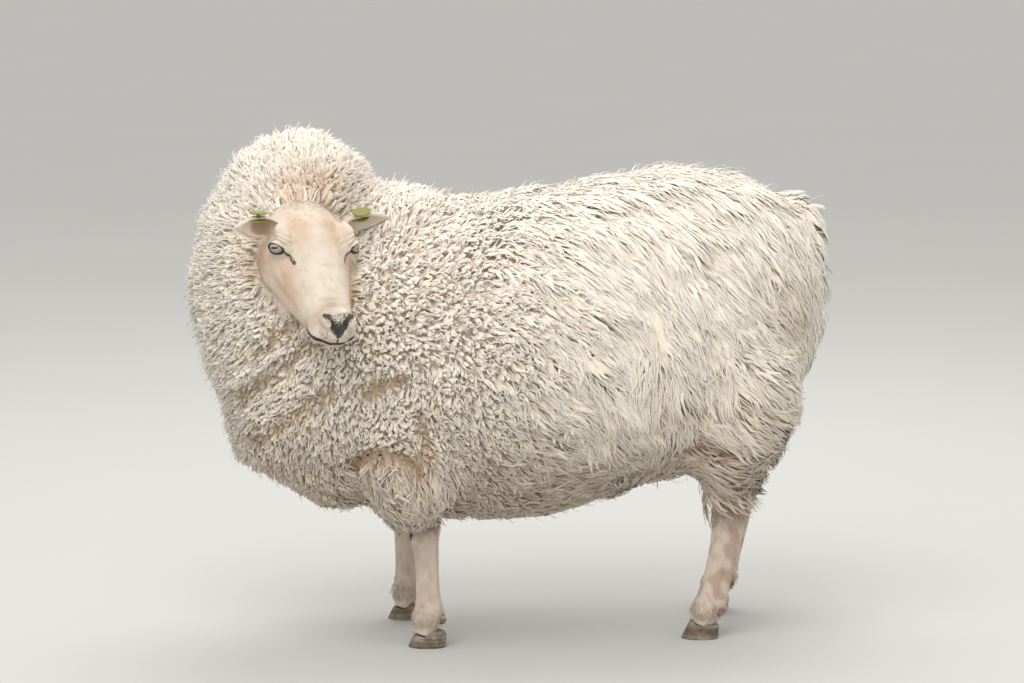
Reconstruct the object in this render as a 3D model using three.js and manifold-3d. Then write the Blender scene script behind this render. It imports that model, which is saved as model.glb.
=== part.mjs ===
// A full-grown ewe in long fleece, standing square with her head turned to her left.
// Millimetres, +Z up. She faces -X and her left flank is towards -Y.
// The solids reach the tips of the coat, so each is as thick as the wool or hair on it.
import * as THREE from "three";
import { mergeVertices } from "three/addons/utils/BufferGeometryUtils.js";
import Module from "manifold-3d";

const wasm = await Module();
wasm.setup();

// ---- Driving dimensions ------------------------------------------------------

const GAP = 0.4; // left between two pieces that touch
const RELIEF = 4; // how far the swells of the fleece stand out
const CHEST_X = -480; // front of the fleece on the breast
const RUMP_X = 478; // rear of the fleece on the buttocks

// The trunk at even steps from the chest to the rump: top and bottom of the fleece, its half breadth,
// and how much narrower its back is than its belly.
const TRUNK = {
  top: [540, 640, 772, 733, 741, 754, 792, 852, 890],
  bottom: [372, 178, 214, 202, 198, 228, 246, 336, 470],
  half: [150, 205, 230, 240, 243, 245, 246, 242, 215],
  taper: [0.1, 0.26, 0.3, 0.16, 0.08, 0.06, 0.04, 0, 0],
};

// The neck rises from the breast and carries the ruff of wool behind the ears.
const NECK = {
  path: [
    [-312, 6, 276],
    [-336, 10, 430],
    [-362, 12, 565],
    [-352, 12, 695],
    [-284, 6, 830],
  ],
  across: [160, 176, 170, 164, 166],
  depth: [156, 172, 174, 172, 168],
};

// A short woolly tail, hanging close against the buttocks.
const TAIL = {
  path: [
    [451, 0, 745],
    [495, 0, 684],
    [484, 0, 590],
    [464, 0, 495],
  ],
  across: [30, 46, 48, 30],
  depth: [24, 32, 32, 22],
};

// The head hangs from the poll.
const POLL = [-350, -134, 746];
const HEADING = 103.5; // degrees that she looks to the left of straight ahead
const PITCH = 46; // degrees that the nose points below level
const ROLL = 3; // degrees that her left cheek hangs lower than her right
const HEAD_LENGTH = 264; // poll to the tip of the nose

// The head at even steps from the nape to the nose: its half width, and its brow and jaw lines.
const HEAD = {
  nape: -44,
  half: [46, 60, 70, 72, 64, 53, 44, 43, 36],
  brow: [-14, 0, 5, 4, -1, -5, -7, -6, -9],
  jaw: [-82, -114, -134, -140, -133, -115, -97, -84, -72],
};
const EYE = { radius: 14, side: 61, along: 82, height: -25 };
const MOUTH = { corner: 192, cornerHeight: -60, front: 330, frontHeight: -29 };

// Each ear: where it leaves the head, where its tip is from there, and which way its cup opens.
// On the head's axes: to her right, towards the nose, out of the brow.
const EAR = {
  left: { base: [-58, 42, -24], reach: [-88, -16, 4], opens: [0.12, 0.9, 0.1] },
  right: { base: [60, 42, -24], reach: [74, 10, 12], opens: [0.3, 0.75, 0.58] },
};
const EAR_ROOT = 18; // buried in the head
const EAR_HALF_WIDTH = [13, 19, 21, 15, 7];
const EAR_DEPTH = [13, 13, 12, 9, 4];
const EAR_WALL = 5;
const EAR_BOW = 5; // how far the middle of an ear lies behind the line from its base to its tip

// The tag through the ear's upper wall: a plate above it, a plate in the cup and the stud between them.
const TAG = { along: 30, length: 34, height: 20, thickness: 2.4, apart: 11, stud: 3, lift: 17, back: 3 };

// A leg of each kind, on her left side. The right one mirrors it, moved along X by its stride.
// upper is the woolled part and lower the short-haired one.
const FORELEG = {
  stride: -10,
  upper: {
    path: [
      [-204, -128, 460],
      [-196, -136, 350],
      [-184, -128, 258],
      [-178, -114, 190],
    ],
    along: [96, 104, 80, 50],
    across: [90, 104, 84, 46],
  },
  lower: {
    path: [
      [-168, -112, 262],
      [-163, -112, 210],
      [-157, -111, 150],
      [-155, -110, 90],
      [-154, -110, 52],
      [-163, -110, 14],
    ],
    along: [30, 28, 21, 21, 25, 21],
    across: [27, 25, 18, 18, 22, 20],
  },
  foot: [-158, -110],
};
const HINDLEG = {
  stride: 60,
  upper: {
    path: [
      [344, -112, 590],
      [343, -124, 480],
      [340, -124, 370],
      [339, -116, 280],
      [340, -110, 196],
    ],
    along: [130, 132, 116, 72, 36],
    across: [100, 114, 106, 70, 34],
  },
  lower: {
    path: [
      [358, -108, 270],
      [350, -108, 215],
      [342, -108, 160],
      [329, -108, 100],
      [316, -108, 54],
      [300, -108, 14],
    ],
    along: [34, 31, 27, 25, 28, 22],
    across: [26, 24, 20, 19, 22, 20],
  },
  foot: [298, -108],
};
const CLAW = { length: 62, width: 23, toe: 37, heel: 24, apart: 3, top: 0.74 };
const CLAW_LEAN = 0.17; // how far a claw's upper rim lies behind its sole, as a share of its length
const DEWCLAW = { behind: 25, aside: 12, height: 46, radii: [8, 6.5, 9] };
const HIND_SET_BACK = 8; // how much further behind the foot a hind leg's dewclaws are
const SHANK_END = 12; // height at which a leg ends inside its hoof

const WOOL = { color: 0xd9cdb8, roughness: 0.95 };
const HAIR = { color: 0xe4d8c8, roughness: 0.85 };
const HORN = { color: 0x6d655b, roughness: 0.6 };
const EYEBALL = { color: 0x9a8a5e, roughness: 0.15 };
const TAG_PLASTIC = { color: 0xc3cf3a, roughness: 0.5 };

// ---- Shaping tools -------------------------------------------------------------

const ACROSS = [0, 1, 0]; // from her left to her right
const UP = [0, 0, 1];
const vec = (p) => new THREE.Vector3(...p);

// Evenly spaced values as a smooth function of t, from 0 to 1.
function smoothly(values) {
  const curve = new THREE.SplineCurve(values.map((v, i) => new THREE.Vector2(i, v)));
  return (t) => curve.getPoint(t).y;
}

// The closed solid that a geometry bounds.
function solid(geometry) {
  const bare = geometry.clone();
  bare.deleteAttribute("normal");
  bare.deleteAttribute("uv");
  const merged = mergeVertices(bare, 1e-3);
  const mesh = new wasm.Mesh({
    numProp: 3,
    vertProperties: merged.attributes.position.array,
    triVerts: new Uint32Array(merged.index.array),
  });
  return new wasm.Manifold(mesh);
}

// The geometry of a closed solid.
function geometryOf(body) {
  const { vertProperties, triVerts } = body.getMesh();
  const geometry = new THREE.BufferGeometry();
  geometry.setAttribute("position", new THREE.BufferAttribute(new Float32Array(vertProperties), 3));
  geometry.setIndex(new THREE.BufferAttribute(new Uint32Array(triVerts), 1));
  geometry.computeVertexNormals();
  return geometry;
}

// The same solid with its skin moved outwards, to cut its neighbours clear of it.
function grown(body) {
  const geometry = geometryOf(body);
  const { position, normal } = geometry.attributes;
  for (let i = 0; i < position.count; i++) {
    const outwards = new THREE.Vector3().fromBufferAttribute(normal, i);
    const p = new THREE.Vector3().fromBufferAttribute(position, i).addScaledVector(outwards, GAP);
    position.setXYZ(i, ...p);
  }
  return solid(geometry);
}

const joined = (bodies) => bodies.reduce((all, body) => all.add(body));
const without = (body, others) => others.reduce((left, other) => left.subtract(grown(other)), body);

// Soft swells where the fleece parts into staples, from -1 to 1.
function staples(p, angle) {
  return Math.sin(p.x / 26 + 2 * angle) * Math.sin(p.z / 31 + 5 * angle);
}

// A superellipse's reach at an angle, as two numbers. Its power is 2 for an ellipse.
function section(angle, power) {
  const reach = (v) => Math.sign(v) * Math.abs(v) ** (2 / power);
  return [reach(Math.cos(angle)), reach(Math.sin(angle))];
}

// A closed round form along a path: a sphere's grid with its poles at the two ends.
// Its half sizes are across, measured along `side`, and depth, measured square to it.
function form({ path, side, across, depth, taper = [0, 0], blunt = 2.6, boxy = 2, around, rows, relief = 0 }) {
  const curve = new THREE.CatmullRomCurve3(path.map(vec), false, "catmullrom", 0.5);
  const [acrossAt, depthAt, taperAt] = [across, depth, taper].map(smoothly);
  const geometry = new THREE.SphereGeometry(1, around, rows);
  const position = geometry.attributes.position;
  for (let i = 0; i < position.count; i++) {
    const pole = THREE.MathUtils.clamp(position.getY(i), -1, 1);
    const t = (1 - pole) / 2;
    const angle = Math.atan2(position.getZ(i), position.getX(i));
    const [c, s] = section(angle, boxy);
    const cap = (1 - Math.abs(pole) ** blunt) ** (1 / blunt);
    const tangent = curve.getTangent(t);
    const outwards = new THREE.Vector3().crossVectors(tangent, vec(side)).normalize();
    const sideways = new THREE.Vector3().crossVectors(outwards, tangent);
    const p = curve.getPoint(t);
    const swell = relief * staples(p, angle);
    p.addScaledVector(sideways, c * cap * (acrossAt(t) + swell) * (1 - taperAt(t) * Math.max(s, 0)));
    p.addScaledVector(outwards, s * cap * (depthAt(t) + swell));
    position.setXYZ(i, ...p);
  }
  return solid(geometry);
}

// An ellipsoid, turned by a matrix's rotation and then moved to its centre.
function ellipsoid(centre, radii, turn, around = 10, rows = 7) {
  const geometry = new THREE.SphereGeometry(1, around, rows);
  geometry.applyMatrix4(new THREE.Matrix4().makeScale(...radii));
  geometry.applyMatrix4(new THREE.Matrix4().extractRotation(turn));
  geometry.translate(...centre);
  return solid(geometry);
}

// ---- Fleece of the trunk, neck and tail ------------------------------------------

function makeTrunk() {
  const { top, bottom, half, taper } = TRUNK;
  const stationX = (i) => THREE.MathUtils.lerp(CHEST_X, RUMP_X, i / (top.length - 1));
  return form({
    path: top.map((z, i) => [stationX(i), 0, (z + bottom[i]) / 2]),
    side: ACROSS,
    across: half,
    depth: top.map((z, i) => (z - bottom[i]) / 2),
    taper,
    blunt: 3.4,
    boxy: 2.15,
    around: 22,
    rows: 17,
    relief: RELIEF,
  });
}

const makeNeck = () => form({ ...NECK, side: ACROSS, blunt: 2.4, around: 16, rows: 11, relief: RELIEF });
const makeTail = () => form({ ...TAIL, side: ACROSS, around: 10, rows: 8 });

// ---- Head --------------------------------------------------------------------------

// The head's axes at the poll: x to her right, y towards the nose, z out of the brow.
function headFrame() {
  const [heading, pitch, roll] = [HEADING, PITCH, ROLL].map(THREE.MathUtils.degToRad);
  const ahead = new THREE.Vector3(-Math.cos(heading), -Math.sin(heading), 0);
  const up = new THREE.Vector3(0, 0, 1);
  const nose = ahead.clone().multiplyScalar(Math.cos(pitch)).addScaledVector(up, -Math.sin(pitch));
  const brow = ahead.clone().multiplyScalar(Math.sin(pitch)).addScaledVector(up, Math.cos(pitch));
  brow.applyAxisAngle(nose, -roll);
  const right = new THREE.Vector3().crossVectors(nose, brow);
  return new THREE.Matrix4().makeBasis(right, nose, brow).setPosition(vec(POLL));
}

const HEAD_FRAME = headFrame();
const onHead = (p) => vec(p).applyMatrix4(HEAD_FRAME).toArray();
const headwards = (direction) => vec(direction).transformDirection(HEAD_FRAME).toArray();
const headBlob = (centre, radii, ...grid) => ellipsoid(onHead(centre), radii, HEAD_FRAME, ...grid);

function makeHead() {
  const { nape, half, brow, jaw } = HEAD;
  const stationY = (i) => THREE.MathUtils.lerp(nape, HEAD_LENGTH, i / (half.length - 1));
  const skull = form({
    path: half.map((_, i) => onHead([0, stationY(i), (brow[i] + jaw[i]) / 2])),
    side: headwards([1, 0, 0]),
    across: half,
    depth: brow.map((z, i) => (z - jaw[i]) / 2),
    blunt: 3.2,
    boxy: 2.3,
    around: 16,
    rows: 14,
  });
  const bumps = [-1, 1].flatMap((s) => [
    headBlob([s * 54, 68, -12], [17, 27, 13], 7, 5), // brow ridge
    headBlob([s * 50, 72, -80], [22, 52, 46], 7, 6), // cheek muscle
    headBlob([s * 24, 228, -50], [19, 26, 18], 7, 6), // upper lip
    headBlob([s * 19, 234, -16], [13, 18, 12], 7, 5), // wing of the nostril
  ]);
  const nostrils = [-1, 1].map((s) => headBlob([s * 21, 249, -10], [4, 9, 6], 6, 5));
  return nostrils.reduce((left, hole) => left.subtract(hole), joined([skull, ...bumps]));
}

// The wedge of the head that is the lower jaw: ahead of the mouth's corner and below its line.
function makeJawWedge(inset) {
  const { corner, cornerHeight, front, frontHeight } = MOUTH;
  const deep = -200;
  const outline = new THREE.Shape();
  outline.moveTo(corner + inset, cornerHeight - inset);
  outline.lineTo(front, frontHeight - inset);
  outline.lineTo(front, deep);
  outline.lineTo(corner - 70 + inset, deep);
  outline.closePath();
  const width = 200;
  const wedge = new THREE.ExtrudeGeometry(outline, { depth: width, bevelEnabled: false });
  wedge.translate(0, 0, -width / 2);
  const onto = [[0, 1, 0], [0, 0, 1], [1, 0, 0]].map(vec);
  wedge.applyMatrix4(new THREE.Matrix4().makeBasis(...onto));
  wedge.applyMatrix4(HEAD_FRAME);
  return solid(wedge);
}

// side is -1 for her left and 1 for her right.
const makeEye = (side) =>
  headBlob([side * EYE.side, EYE.along, EYE.height], Array(3).fill(EYE.radius), 9, 6);

// An ear's axes at its base: x along the ear, y to its upper edge, z out of its cup.
function earFrame({ base, reach, opens }) {
  const along = vec(headwards(reach));
  const upper = new THREE.Vector3().crossVectors(vec(headwards(opens)), along).normalize();
  const out = new THREE.Vector3().crossVectors(along, upper);
  return new THREE.Matrix4().makeBasis(along, upper, out).setPosition(vec(onHead(base)));
}

// An ear is a pod, hollowed from the side that it opens to.
function makeEar(ear) {
  const frame = earFrame(ear);
  const length = vec(ear.reach).length();
  const pod = (wall, lift) => {
    const stations = EAR_HALF_WIDTH.map((_, i, all) => {
      const x = THREE.MathUtils.lerp(-EAR_ROOT, length, i / (all.length - 1));
      return [x, 0, lift - EAR_BOW * Math.sin((Math.PI * Math.max(x, 0)) / length)];
    });
    return form({
      path: stations.map((p) => vec(p).applyMatrix4(frame).toArray()),
      side: new THREE.Vector3(0, 1, 0).transformDirection(frame).toArray(),
      across: EAR_HALF_WIDTH.map((v) => v - wall),
      depth: EAR_DEPTH.map((v) => v - wall / 2),
      blunt: 2.2,
      around: 10,
      rows: 7,
    });
  };
  const whole = pod(0, 0);
  return { whole, cupped: whole.subtract(pod(EAR_WALL, EAR_WALL + 3)), frame };
}

// Two flat oval plates and their stud, square to the ear's upper edge.
// up is 1 where the frame's y points up, and -1 where it points down.
function makeTag(frame, up) {
  const oval = new THREE.Shape();
  oval.absellipse(0, 0, TAG.length / 2, TAG.height / 2, 0, 2 * Math.PI);
  const plates = [-TAG.apart / 2 - TAG.thickness, TAG.apart / 2].map((z) => {
    const plate = new THREE.ExtrudeGeometry(oval, {
      depth: TAG.thickness,
      bevelEnabled: false,
      curveSegments: 6,
    });
    return plate.translate(TAG.along, 0, z);
  });
  const stud = new THREE.CylinderGeometry(TAG.stud, TAG.stud, TAG.apart + TAG.thickness, 6);
  stud.rotateX(Math.PI / 2);
  stud.translate(TAG.along, 0, 0);
  const place = (piece) =>
    piece.rotateX(-Math.PI / 2).translate(0, up * TAG.lift, -TAG.back).applyMatrix4(frame);
  return joined([...plates, stud].map((piece) => solid(place(piece))));
}

// ---- Legs ----------------------------------------------------------------------------

// side is -1 for her left and 1 for her right.
const moved = (leg, side, [x, y, z]) => [side < 0 ? x : x + leg.stride, -side * y, z];

function makeUpper(leg, side) {
  return form({
    ...leg.upper,
    path: leg.upper.path.map((p) => moved(leg, side, p)),
    side: ACROSS,
    depth: leg.upper.along,
    blunt: 2.4,
    around: 12,
    rows: 9,
    relief: RELIEF,
  });
}

function makeLower(leg, side) {
  return form({
    ...leg.lower,
    path: leg.lower.path.map((p) => moved(leg, side, p)),
    side: ACROSS,
    depth: leg.lower.along,
    blunt: 8,
    around: 9,
    rows: 9,
  });
}

// One claw of a cloven hoof, on a flat sole: straight inside, round outside and longest at the toe.
// aside is -1 for the claw nearer her left, 1 for the one nearer her right.
function makeClaw(leg, side, aside) {
  const { length, width, toe, heel, apart, top } = CLAW;
  const sole = new THREE.Shape();
  sole.moveTo(-length / 2, 1);
  sole.quadraticCurveTo(-length / 2 + 8, width, 4, width);
  sole.quadraticCurveTo(length / 2, width, length / 2, width / 3);
  sole.quadraticCurveTo(length / 2, 0, length / 2 - 8, 0);
  sole.closePath();
  const geometry = new THREE.ExtrudeGeometry(sole, { depth: 1, bevelEnabled: false, curveSegments: 3 });
  const { position } = geometry.attributes;
  for (let i = 0; i < position.count; i++) {
    const [x, y, upper] = [position.getX(i), position.getY(i), position.getZ(i)];
    const back = (x + length / 2) / length;
    const height = THREE.MathUtils.lerp(toe, heel, back);
    const shrink = upper > 0.5 ? top : 1;
    const lean = upper > 0.5 ? length * CLAW_LEAN : 0;
    position.setXYZ(i, x * shrink + lean, y * shrink + apart / 2, upper * height);
  }
  const [x, y] = moved(leg, side, [...leg.foot, 0]);
  const claw = solid(geometry);
  const placed = aside > 0 ? claw : claw.mirror([0, 1, 0]);
  return placed.translate([x, y, 0]);
}

function makeDewclaw(leg, side, aside) {
  const [x, y] = moved(leg, side, [...leg.foot, 0]);
  const { behind, aside: out, height, radii } = DEWCLAW;
  const setBack = leg === HINDLEG ? HIND_SET_BACK : 0;
  return ellipsoid([x + behind + setBack, y + aside * out, height], radii, new THREE.Matrix4(), 6, 5);
}

// ---- The whole ewe ---------------------------------------------------------------------

const ewe = new THREE.Group();
const standing = new THREE.Group();
ewe.add(standing);

function add(name, body, { color, roughness }) {
  const mesh = new THREE.Mesh(
    geometryOf(body),
    new THREE.MeshStandardMaterial({ color, roughness, metalness: 0 }),
  );
  mesh.name = name;
  standing.add(mesh);
}

const head = makeHead();
const neck = makeNeck();
const ears = { left: makeEar(EAR.left), right: makeEar(EAR.right) };
const eyes = { left: makeEye(-1), right: makeEye(1) };
const tags = { left: makeTag(ears.left.frame, 1), right: makeTag(ears.right.frame, -1) };
const tail = makeTail();
const uppers = [];
const lowers = [];

for (const [kind, leg] of [["fore", FORELEG], ["hind", HINDLEG]]) {
  for (const [hand, side] of [["left", -1], ["right", 1]]) {
    const upper = makeUpper(leg, side);
    const lower = makeLower(leg, side);
    uppers.push(upper);
    lowers.push(lower);
    add(`${kind}leg_upper_${hand}`, without(upper, [lower]), WOOL);
    const dewclaws = [-1, 1].map((aside) => makeDewclaw(leg, side, aside));
    add(`${kind}leg_lower_${hand}`, without(lower, dewclaws).trimByPlane(UP, SHANK_END), HAIR);
    for (const aside of [-1, 1]) {
      const place = aside === side ? "outer" : "inner";
      const claw = without(makeClaw(leg, side, aside), [lower]);
      add(`hoof_${kind}_${hand}_${place}`, claw, HORN);
      add(`dewclaw_${kind}_${hand}_${place}`, dewclaws[(aside + 1) / 2], HORN);
    }
  }
}

add("trunk", without(makeTrunk(), [neck, head, ears.left.whole, tags.left, tail, ...uppers, ...lowers]), WOOL);
add("neck", without(neck, [head, ears.left.whole, ears.right.whole, ...uppers.slice(0, 2)]), WOOL);
add("tail", tail, WOOL);
add("head", without(head, [eyes.left, eyes.right]).subtract(makeJawWedge(0)), HAIR);
add("lower_jaw", head.intersect(makeJawWedge(GAP)), HAIR);
for (const hand of ["left", "right"]) {
  add(`eye_${hand}`, eyes[hand], EYEBALL);
  add(`ear_${hand}`, without(ears[hand].cupped, [head, tags[hand]]), HAIR);
  add(`ear_tag_${hand}`, tags[hand], TAG_PLASTIC);
}

// The origin is on the ground under the middle of her length and breadth.
const middle = new THREE.Box3().setFromObject(standing).getCenter(new THREE.Vector3());
standing.position.set(-middle.x, -middle.y, 0);

export default ewe;
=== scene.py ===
import math

import bmesh
import bpy
import numpy as np
from bpy.props import FloatProperty, FloatVectorProperty, IntProperty, PointerProperty
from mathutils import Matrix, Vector
from mathutils.bvhtree import BVHTree
from mathutils.kdtree import KDTree


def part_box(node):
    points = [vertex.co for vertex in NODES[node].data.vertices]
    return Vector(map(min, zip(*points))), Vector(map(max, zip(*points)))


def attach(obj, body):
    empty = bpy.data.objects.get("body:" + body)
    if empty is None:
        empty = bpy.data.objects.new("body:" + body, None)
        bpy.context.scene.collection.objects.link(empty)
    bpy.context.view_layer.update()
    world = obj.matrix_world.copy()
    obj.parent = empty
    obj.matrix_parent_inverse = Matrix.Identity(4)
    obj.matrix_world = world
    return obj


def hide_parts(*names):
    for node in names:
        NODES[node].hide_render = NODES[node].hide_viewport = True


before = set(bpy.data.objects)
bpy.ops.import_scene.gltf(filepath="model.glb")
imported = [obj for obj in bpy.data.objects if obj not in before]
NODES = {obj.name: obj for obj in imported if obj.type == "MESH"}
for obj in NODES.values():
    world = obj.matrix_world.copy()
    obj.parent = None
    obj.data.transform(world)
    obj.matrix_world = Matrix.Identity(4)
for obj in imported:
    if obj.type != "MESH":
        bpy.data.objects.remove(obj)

bl_info = {
    "name": "Standing ewe",
    "version": (1, 0, 0),
    "blender": (4, 5, 0),
    "location": "3D View > Sidebar > Ewe",
    "description": "Skin, eyes, hooves, ear tags and fleece of a standing ewe on her packed frame",
    "category": "Object",
}

bpy.context.view_layer.update()
SIDES = ("left", "right")
FEET = [(kind, hand) for kind in ("fore", "hind") for hand in SIDES]
FLEECE_NODES = ["trunk", "neck", "tail"] + [f"{k}leg_upper_{h}" for k, h in FEET]
EAR_NODES = ["ear_left", "ear_right"]
HEAD_NODES = ["head", "lower_jaw"] + EAR_NODES
FACE_NODES = ["head", "lower_jaw", "eye_left", "eye_right"]
SHANK_NODES = [f"{k}leg_lower_{h}" for k, h in FEET]
SEED = 20

# ---- Where things are ------------------------------------------------------------------


def unit(v):
    v = np.asarray(v, float)
    return v / np.maximum(np.linalg.norm(v, axis=-1, keepdims=True), 1e-12)


def node_middle(name):
    """The mean of a node's own corners, each counted once."""
    corners = np.array([v.co for v in NODES[name].data.vertices]).round(6)
    return np.unique(corners, axis=0).mean(0)


def head_axes(heading=103.5, pitch=46.0, roll=3.0):
    """Rows: towards her right, towards the nose and out of the brow."""
    h, p, r = map(math.radians, (heading, pitch, roll))
    ahead = np.array([-math.cos(h), -math.sin(h), 0.0])
    up = np.array([0.0, 0.0, 1.0])
    nose = ahead * math.cos(p) - up * math.sin(p)
    brow = ahead * math.sin(p) + up * math.cos(p)
    brow = brow * math.cos(r) - np.cross(nose, brow) * math.sin(r)
    return np.array([np.cross(nose, brow), nose, brow])


HEAD = head_axes()
EYE_AT = np.array([0.061, 0.082, -0.025])
EYE_RADIUS = 0.014
# Her left side is -1 and her right side is 1.
EYES = {-1: node_middle("eye_left"), 1: node_middle("eye_right")}
POLL = EYES[-1] - (EYE_AT * [-1, 1, 1]) @ HEAD
MIDLINE = node_middle("tail")[1]

LID_HALF_LENGTH = 0.0122
UPPER_LID_HEIGHT = 0.0066
LOWER_LID_HEIGHT = 0.0078

# The ears on the head's axes, by side: base, tip and the way that the cup opens.
EARS = {
    -1: (np.array([-0.058, 0.042, -0.024]), np.array([-0.146, 0.026, -0.020]), unit([0.12, 0.9, 0.1])),
    1: (np.array([0.060, 0.042, -0.024]), np.array([0.134, 0.052, -0.012]), unit([0.3, 0.75, 0.58])),
}


def lid_height(v):
    """Half the opening between the lids, above and below the middle."""
    return np.where(v > 0, UPPER_LID_HEIGHT, LOWER_LID_HEIGHT)


def to_head(points):
    """Points on the head's axes, in metres from the poll."""
    return (points - POLL) @ HEAD.T


def from_head(points):
    return np.asarray(points) @ HEAD + POLL


def eye_axes(side):
    """Rows: along the lids towards the nose, up across them, and out of the eye."""
    out = unit(np.array([side * 0.76, 0.44, 0.48]))
    along = np.array([0.0, 0.8, 0.6])
    along = unit(along - out * (along @ out))
    lids_up = np.cross(out, along) * side
    return np.array([along, lids_up, out]) @ HEAD


# ---- Mesh helpers ----------------------------------------------------------------------


def placed(name, mesh, materials, stands_for=()):
    """A finished piece on the body, with its materials and the nodes it stands for."""
    obj = bpy.data.objects.new(name, mesh)
    mesh.name = name
    bpy.context.scene.collection.objects.link(obj)
    mesh.materials.clear()
    for material in materials:
        mesh.materials.append(material)
    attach(obj, "root")
    if stands_for:
        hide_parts(*stands_for)
    return obj


def merged_copy(names):
    """One mesh of the named nodes' copies, with the corners that meet merged."""
    bm = bmesh.new()
    for name in names:
        bm.from_mesh(NODES[name].data)
    bmesh.ops.remove_doubles(bm, verts=bm.verts, dist=1e-6)
    return finished(bm, "working")


def finished(bm, name):
    mesh = bpy.data.meshes.new(name)
    bm.to_mesh(mesh)
    bm.free()
    return mesh


def through(mesh, *settings):
    """The mesh after modifiers, each given as its type and its settings."""
    obj = bpy.data.objects.new("working", mesh)
    bpy.context.scene.collection.objects.link(obj)
    for kind, values in settings:
        modifier = obj.modifiers.new(kind, kind)
        for key, value in values.items():
            setattr(modifier, key, value)
    bpy.context.view_layer.update()
    graph = bpy.context.evaluated_depsgraph_get()
    made = bpy.data.meshes.new_from_object(obj.evaluated_get(graph))
    bpy.data.objects.remove(obj)
    return made


def remeshed(mesh, size):
    return through(mesh, ("REMESH", {"mode": "VOXEL", "voxel_size": size, "adaptivity": 0.0}))


def read(items, field, width, kind=np.float32):
    """One field of every item, as rows of the width given."""
    values = np.empty(len(items) * width, kind)
    items.foreach_get(field, values)
    return values.reshape(-1, width)


def corners_of(mesh):
    return read(mesh.vertices, "co", 3).astype(float)


def normals_of(mesh):
    return read(mesh.vertex_normals, "vector", 3).astype(float)


def reshape(mesh, co):
    mesh.vertices.foreach_set("co", co.astype(np.float32).ravel())
    mesh.update()


def shade_smooth(mesh):
    mesh.polygons.foreach_set("use_smooth", np.ones(len(mesh.polygons), bool))


ATTRIBUTE_FIELDS = {"FLOAT": "value", "FLOAT_VECTOR": "vector", "FLOAT_COLOR": "color"}


def write_attribute(mesh, name, kind, values):
    """Keeps a value for each corner, for the materials to read."""
    layer = mesh.attributes.new(name, kind, "POINT")
    layer.data.foreach_set(ATTRIBUTE_FIELDS[kind], values.astype(np.float32).ravel())


def smoothing(mesh):
    """A function that moves corner values towards the mean of their neighbours."""
    a, b = read(mesh.edges, "vertices", 2, np.int32).T
    count = len(mesh.vertices)
    degree = np.maximum(np.bincount(a, minlength=count) + np.bincount(b, minlength=count), 1)

    def smooth(co, amount=0.5, times=1):
        for _ in range(times):
            total = np.stack([
                np.bincount(a, co[b, k], count) + np.bincount(b, co[a, k], count)
                for k in range(co.shape[1])
            ], 1)
            co = co + (total / degree[:, None] - co) * amount
        return co

    return smooth


def step(x, low, high):
    """Smoothly from 0 at low to 1 at high."""
    t = np.clip((x - low) / (high - low), 0, 1)
    return t * t * (3 - 2 * t)


def blob(points, centre, radii):
    """A soft swell: 1 at its centre and near 0 past its radii."""
    d = (points - np.asarray(centre)) / np.asarray(radii)
    return np.exp(-1.5 * (d * d).sum(-1))


def ridge(away, half_breadth):
    """1 on a line and near 0 past twice its half breadth."""
    return np.exp(-((away / half_breadth) ** 2))


def wavy(points, scale, seed):
    """Smooth noise from -1 to 1, as a sum of turned sine waves."""
    rng = np.random.default_rng(seed)
    total = np.zeros(len(points))
    for _ in range(7):
        direction = unit(rng.normal(size=3)) * rng.uniform(0.6, 1.5) / scale
        total += np.sin(2 * math.pi * (points @ direction) + rng.uniform(0, 2 * math.pi))
    return total / 3.0


# ---- Markings --------------------------------------------------------------------------


def from_segment(points, start, end):
    """Distance of each point from a straight line's piece, and how far along it lies."""
    start, along = np.asarray(start, float), np.asarray(end, float) - start
    share = np.clip((points - start) @ along / (along @ along), 0, 1)
    return np.linalg.norm(points - start - share[:, None] * along, axis=1), share


# Landmarks of the face on the head's axes, in metres.
NOSE_BOTTOM = np.array([0.0, 0.253, -0.027])
NOSTRIL_TOP = np.array([0.0225, 0.230, -0.007])
FACE_MIDDLE = np.array([0, 0.11, -0.06])
MOUTH_CORNER = (0.192, -0.0595)
MOUTH_SLOPE = 0.225

# Soft patches on the face, mirrored: name, weight, centre and radii on the head's axes.
GINGER_PATCHES = [
    ("forehead", 0.60, (0.028, 0.060, 0.0), (0.026, 0.050, 0.03)),
    ("cheek", 0.62, (0.056, 0.150, -0.060), (0.025, 0.055, 0.040)),
    ("below the eye", 0.35, (0.052, 0.118, -0.030), (0.014, 0.030, 0.020)),
]
PALE_PATCHES = [
    ("blaze", 1, (0, 0.155, -0.01), (0.016, 0.10, 0.05)),
    ("poll", 1, (0, 0.0, 0.0), (0.03, 0.03, 0.03)),
]
FRECKLED_PATCHES = [
    ("between the nostrils", 0.56, (0.006, 0.232, -0.006), (0.024, 0.022, 0.02)),
    ("upper lip", 0.36, (0.018, 0.250, -0.034), (0.022, 0.022, 0.012)),
]

# Soiled patches of the wool: name, weight, centre and radii in the body's frame.
SOILED_PATCHES = [
    ("between the thighs", 0.50, (0.345, MIDLINE, 0.36), (0.14, 0.20, 0.12)),
    ("left side of the rump", 0.55, (0.42, MIDLINE - 0.19, 0.58), (0.05, 0.09, 0.07)),
]


def patches(points, table):
    """The added weights of a table's patches."""
    return sum(weight * blob(points, centre, radii) for _, weight, centre, radii in table)


def mirrored(q):
    """Points on the head's axes, all brought to one half."""
    return np.abs(q) * [1, 0, 0] + q * [0, 1, 1]


def mouth_height(y):
    """Height of the mouth's line on the head's axes, at a place along the nose."""
    return MOUTH_CORNER[1] + MOUTH_SLOPE * (y - MOUTH_CORNER[0])


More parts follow.
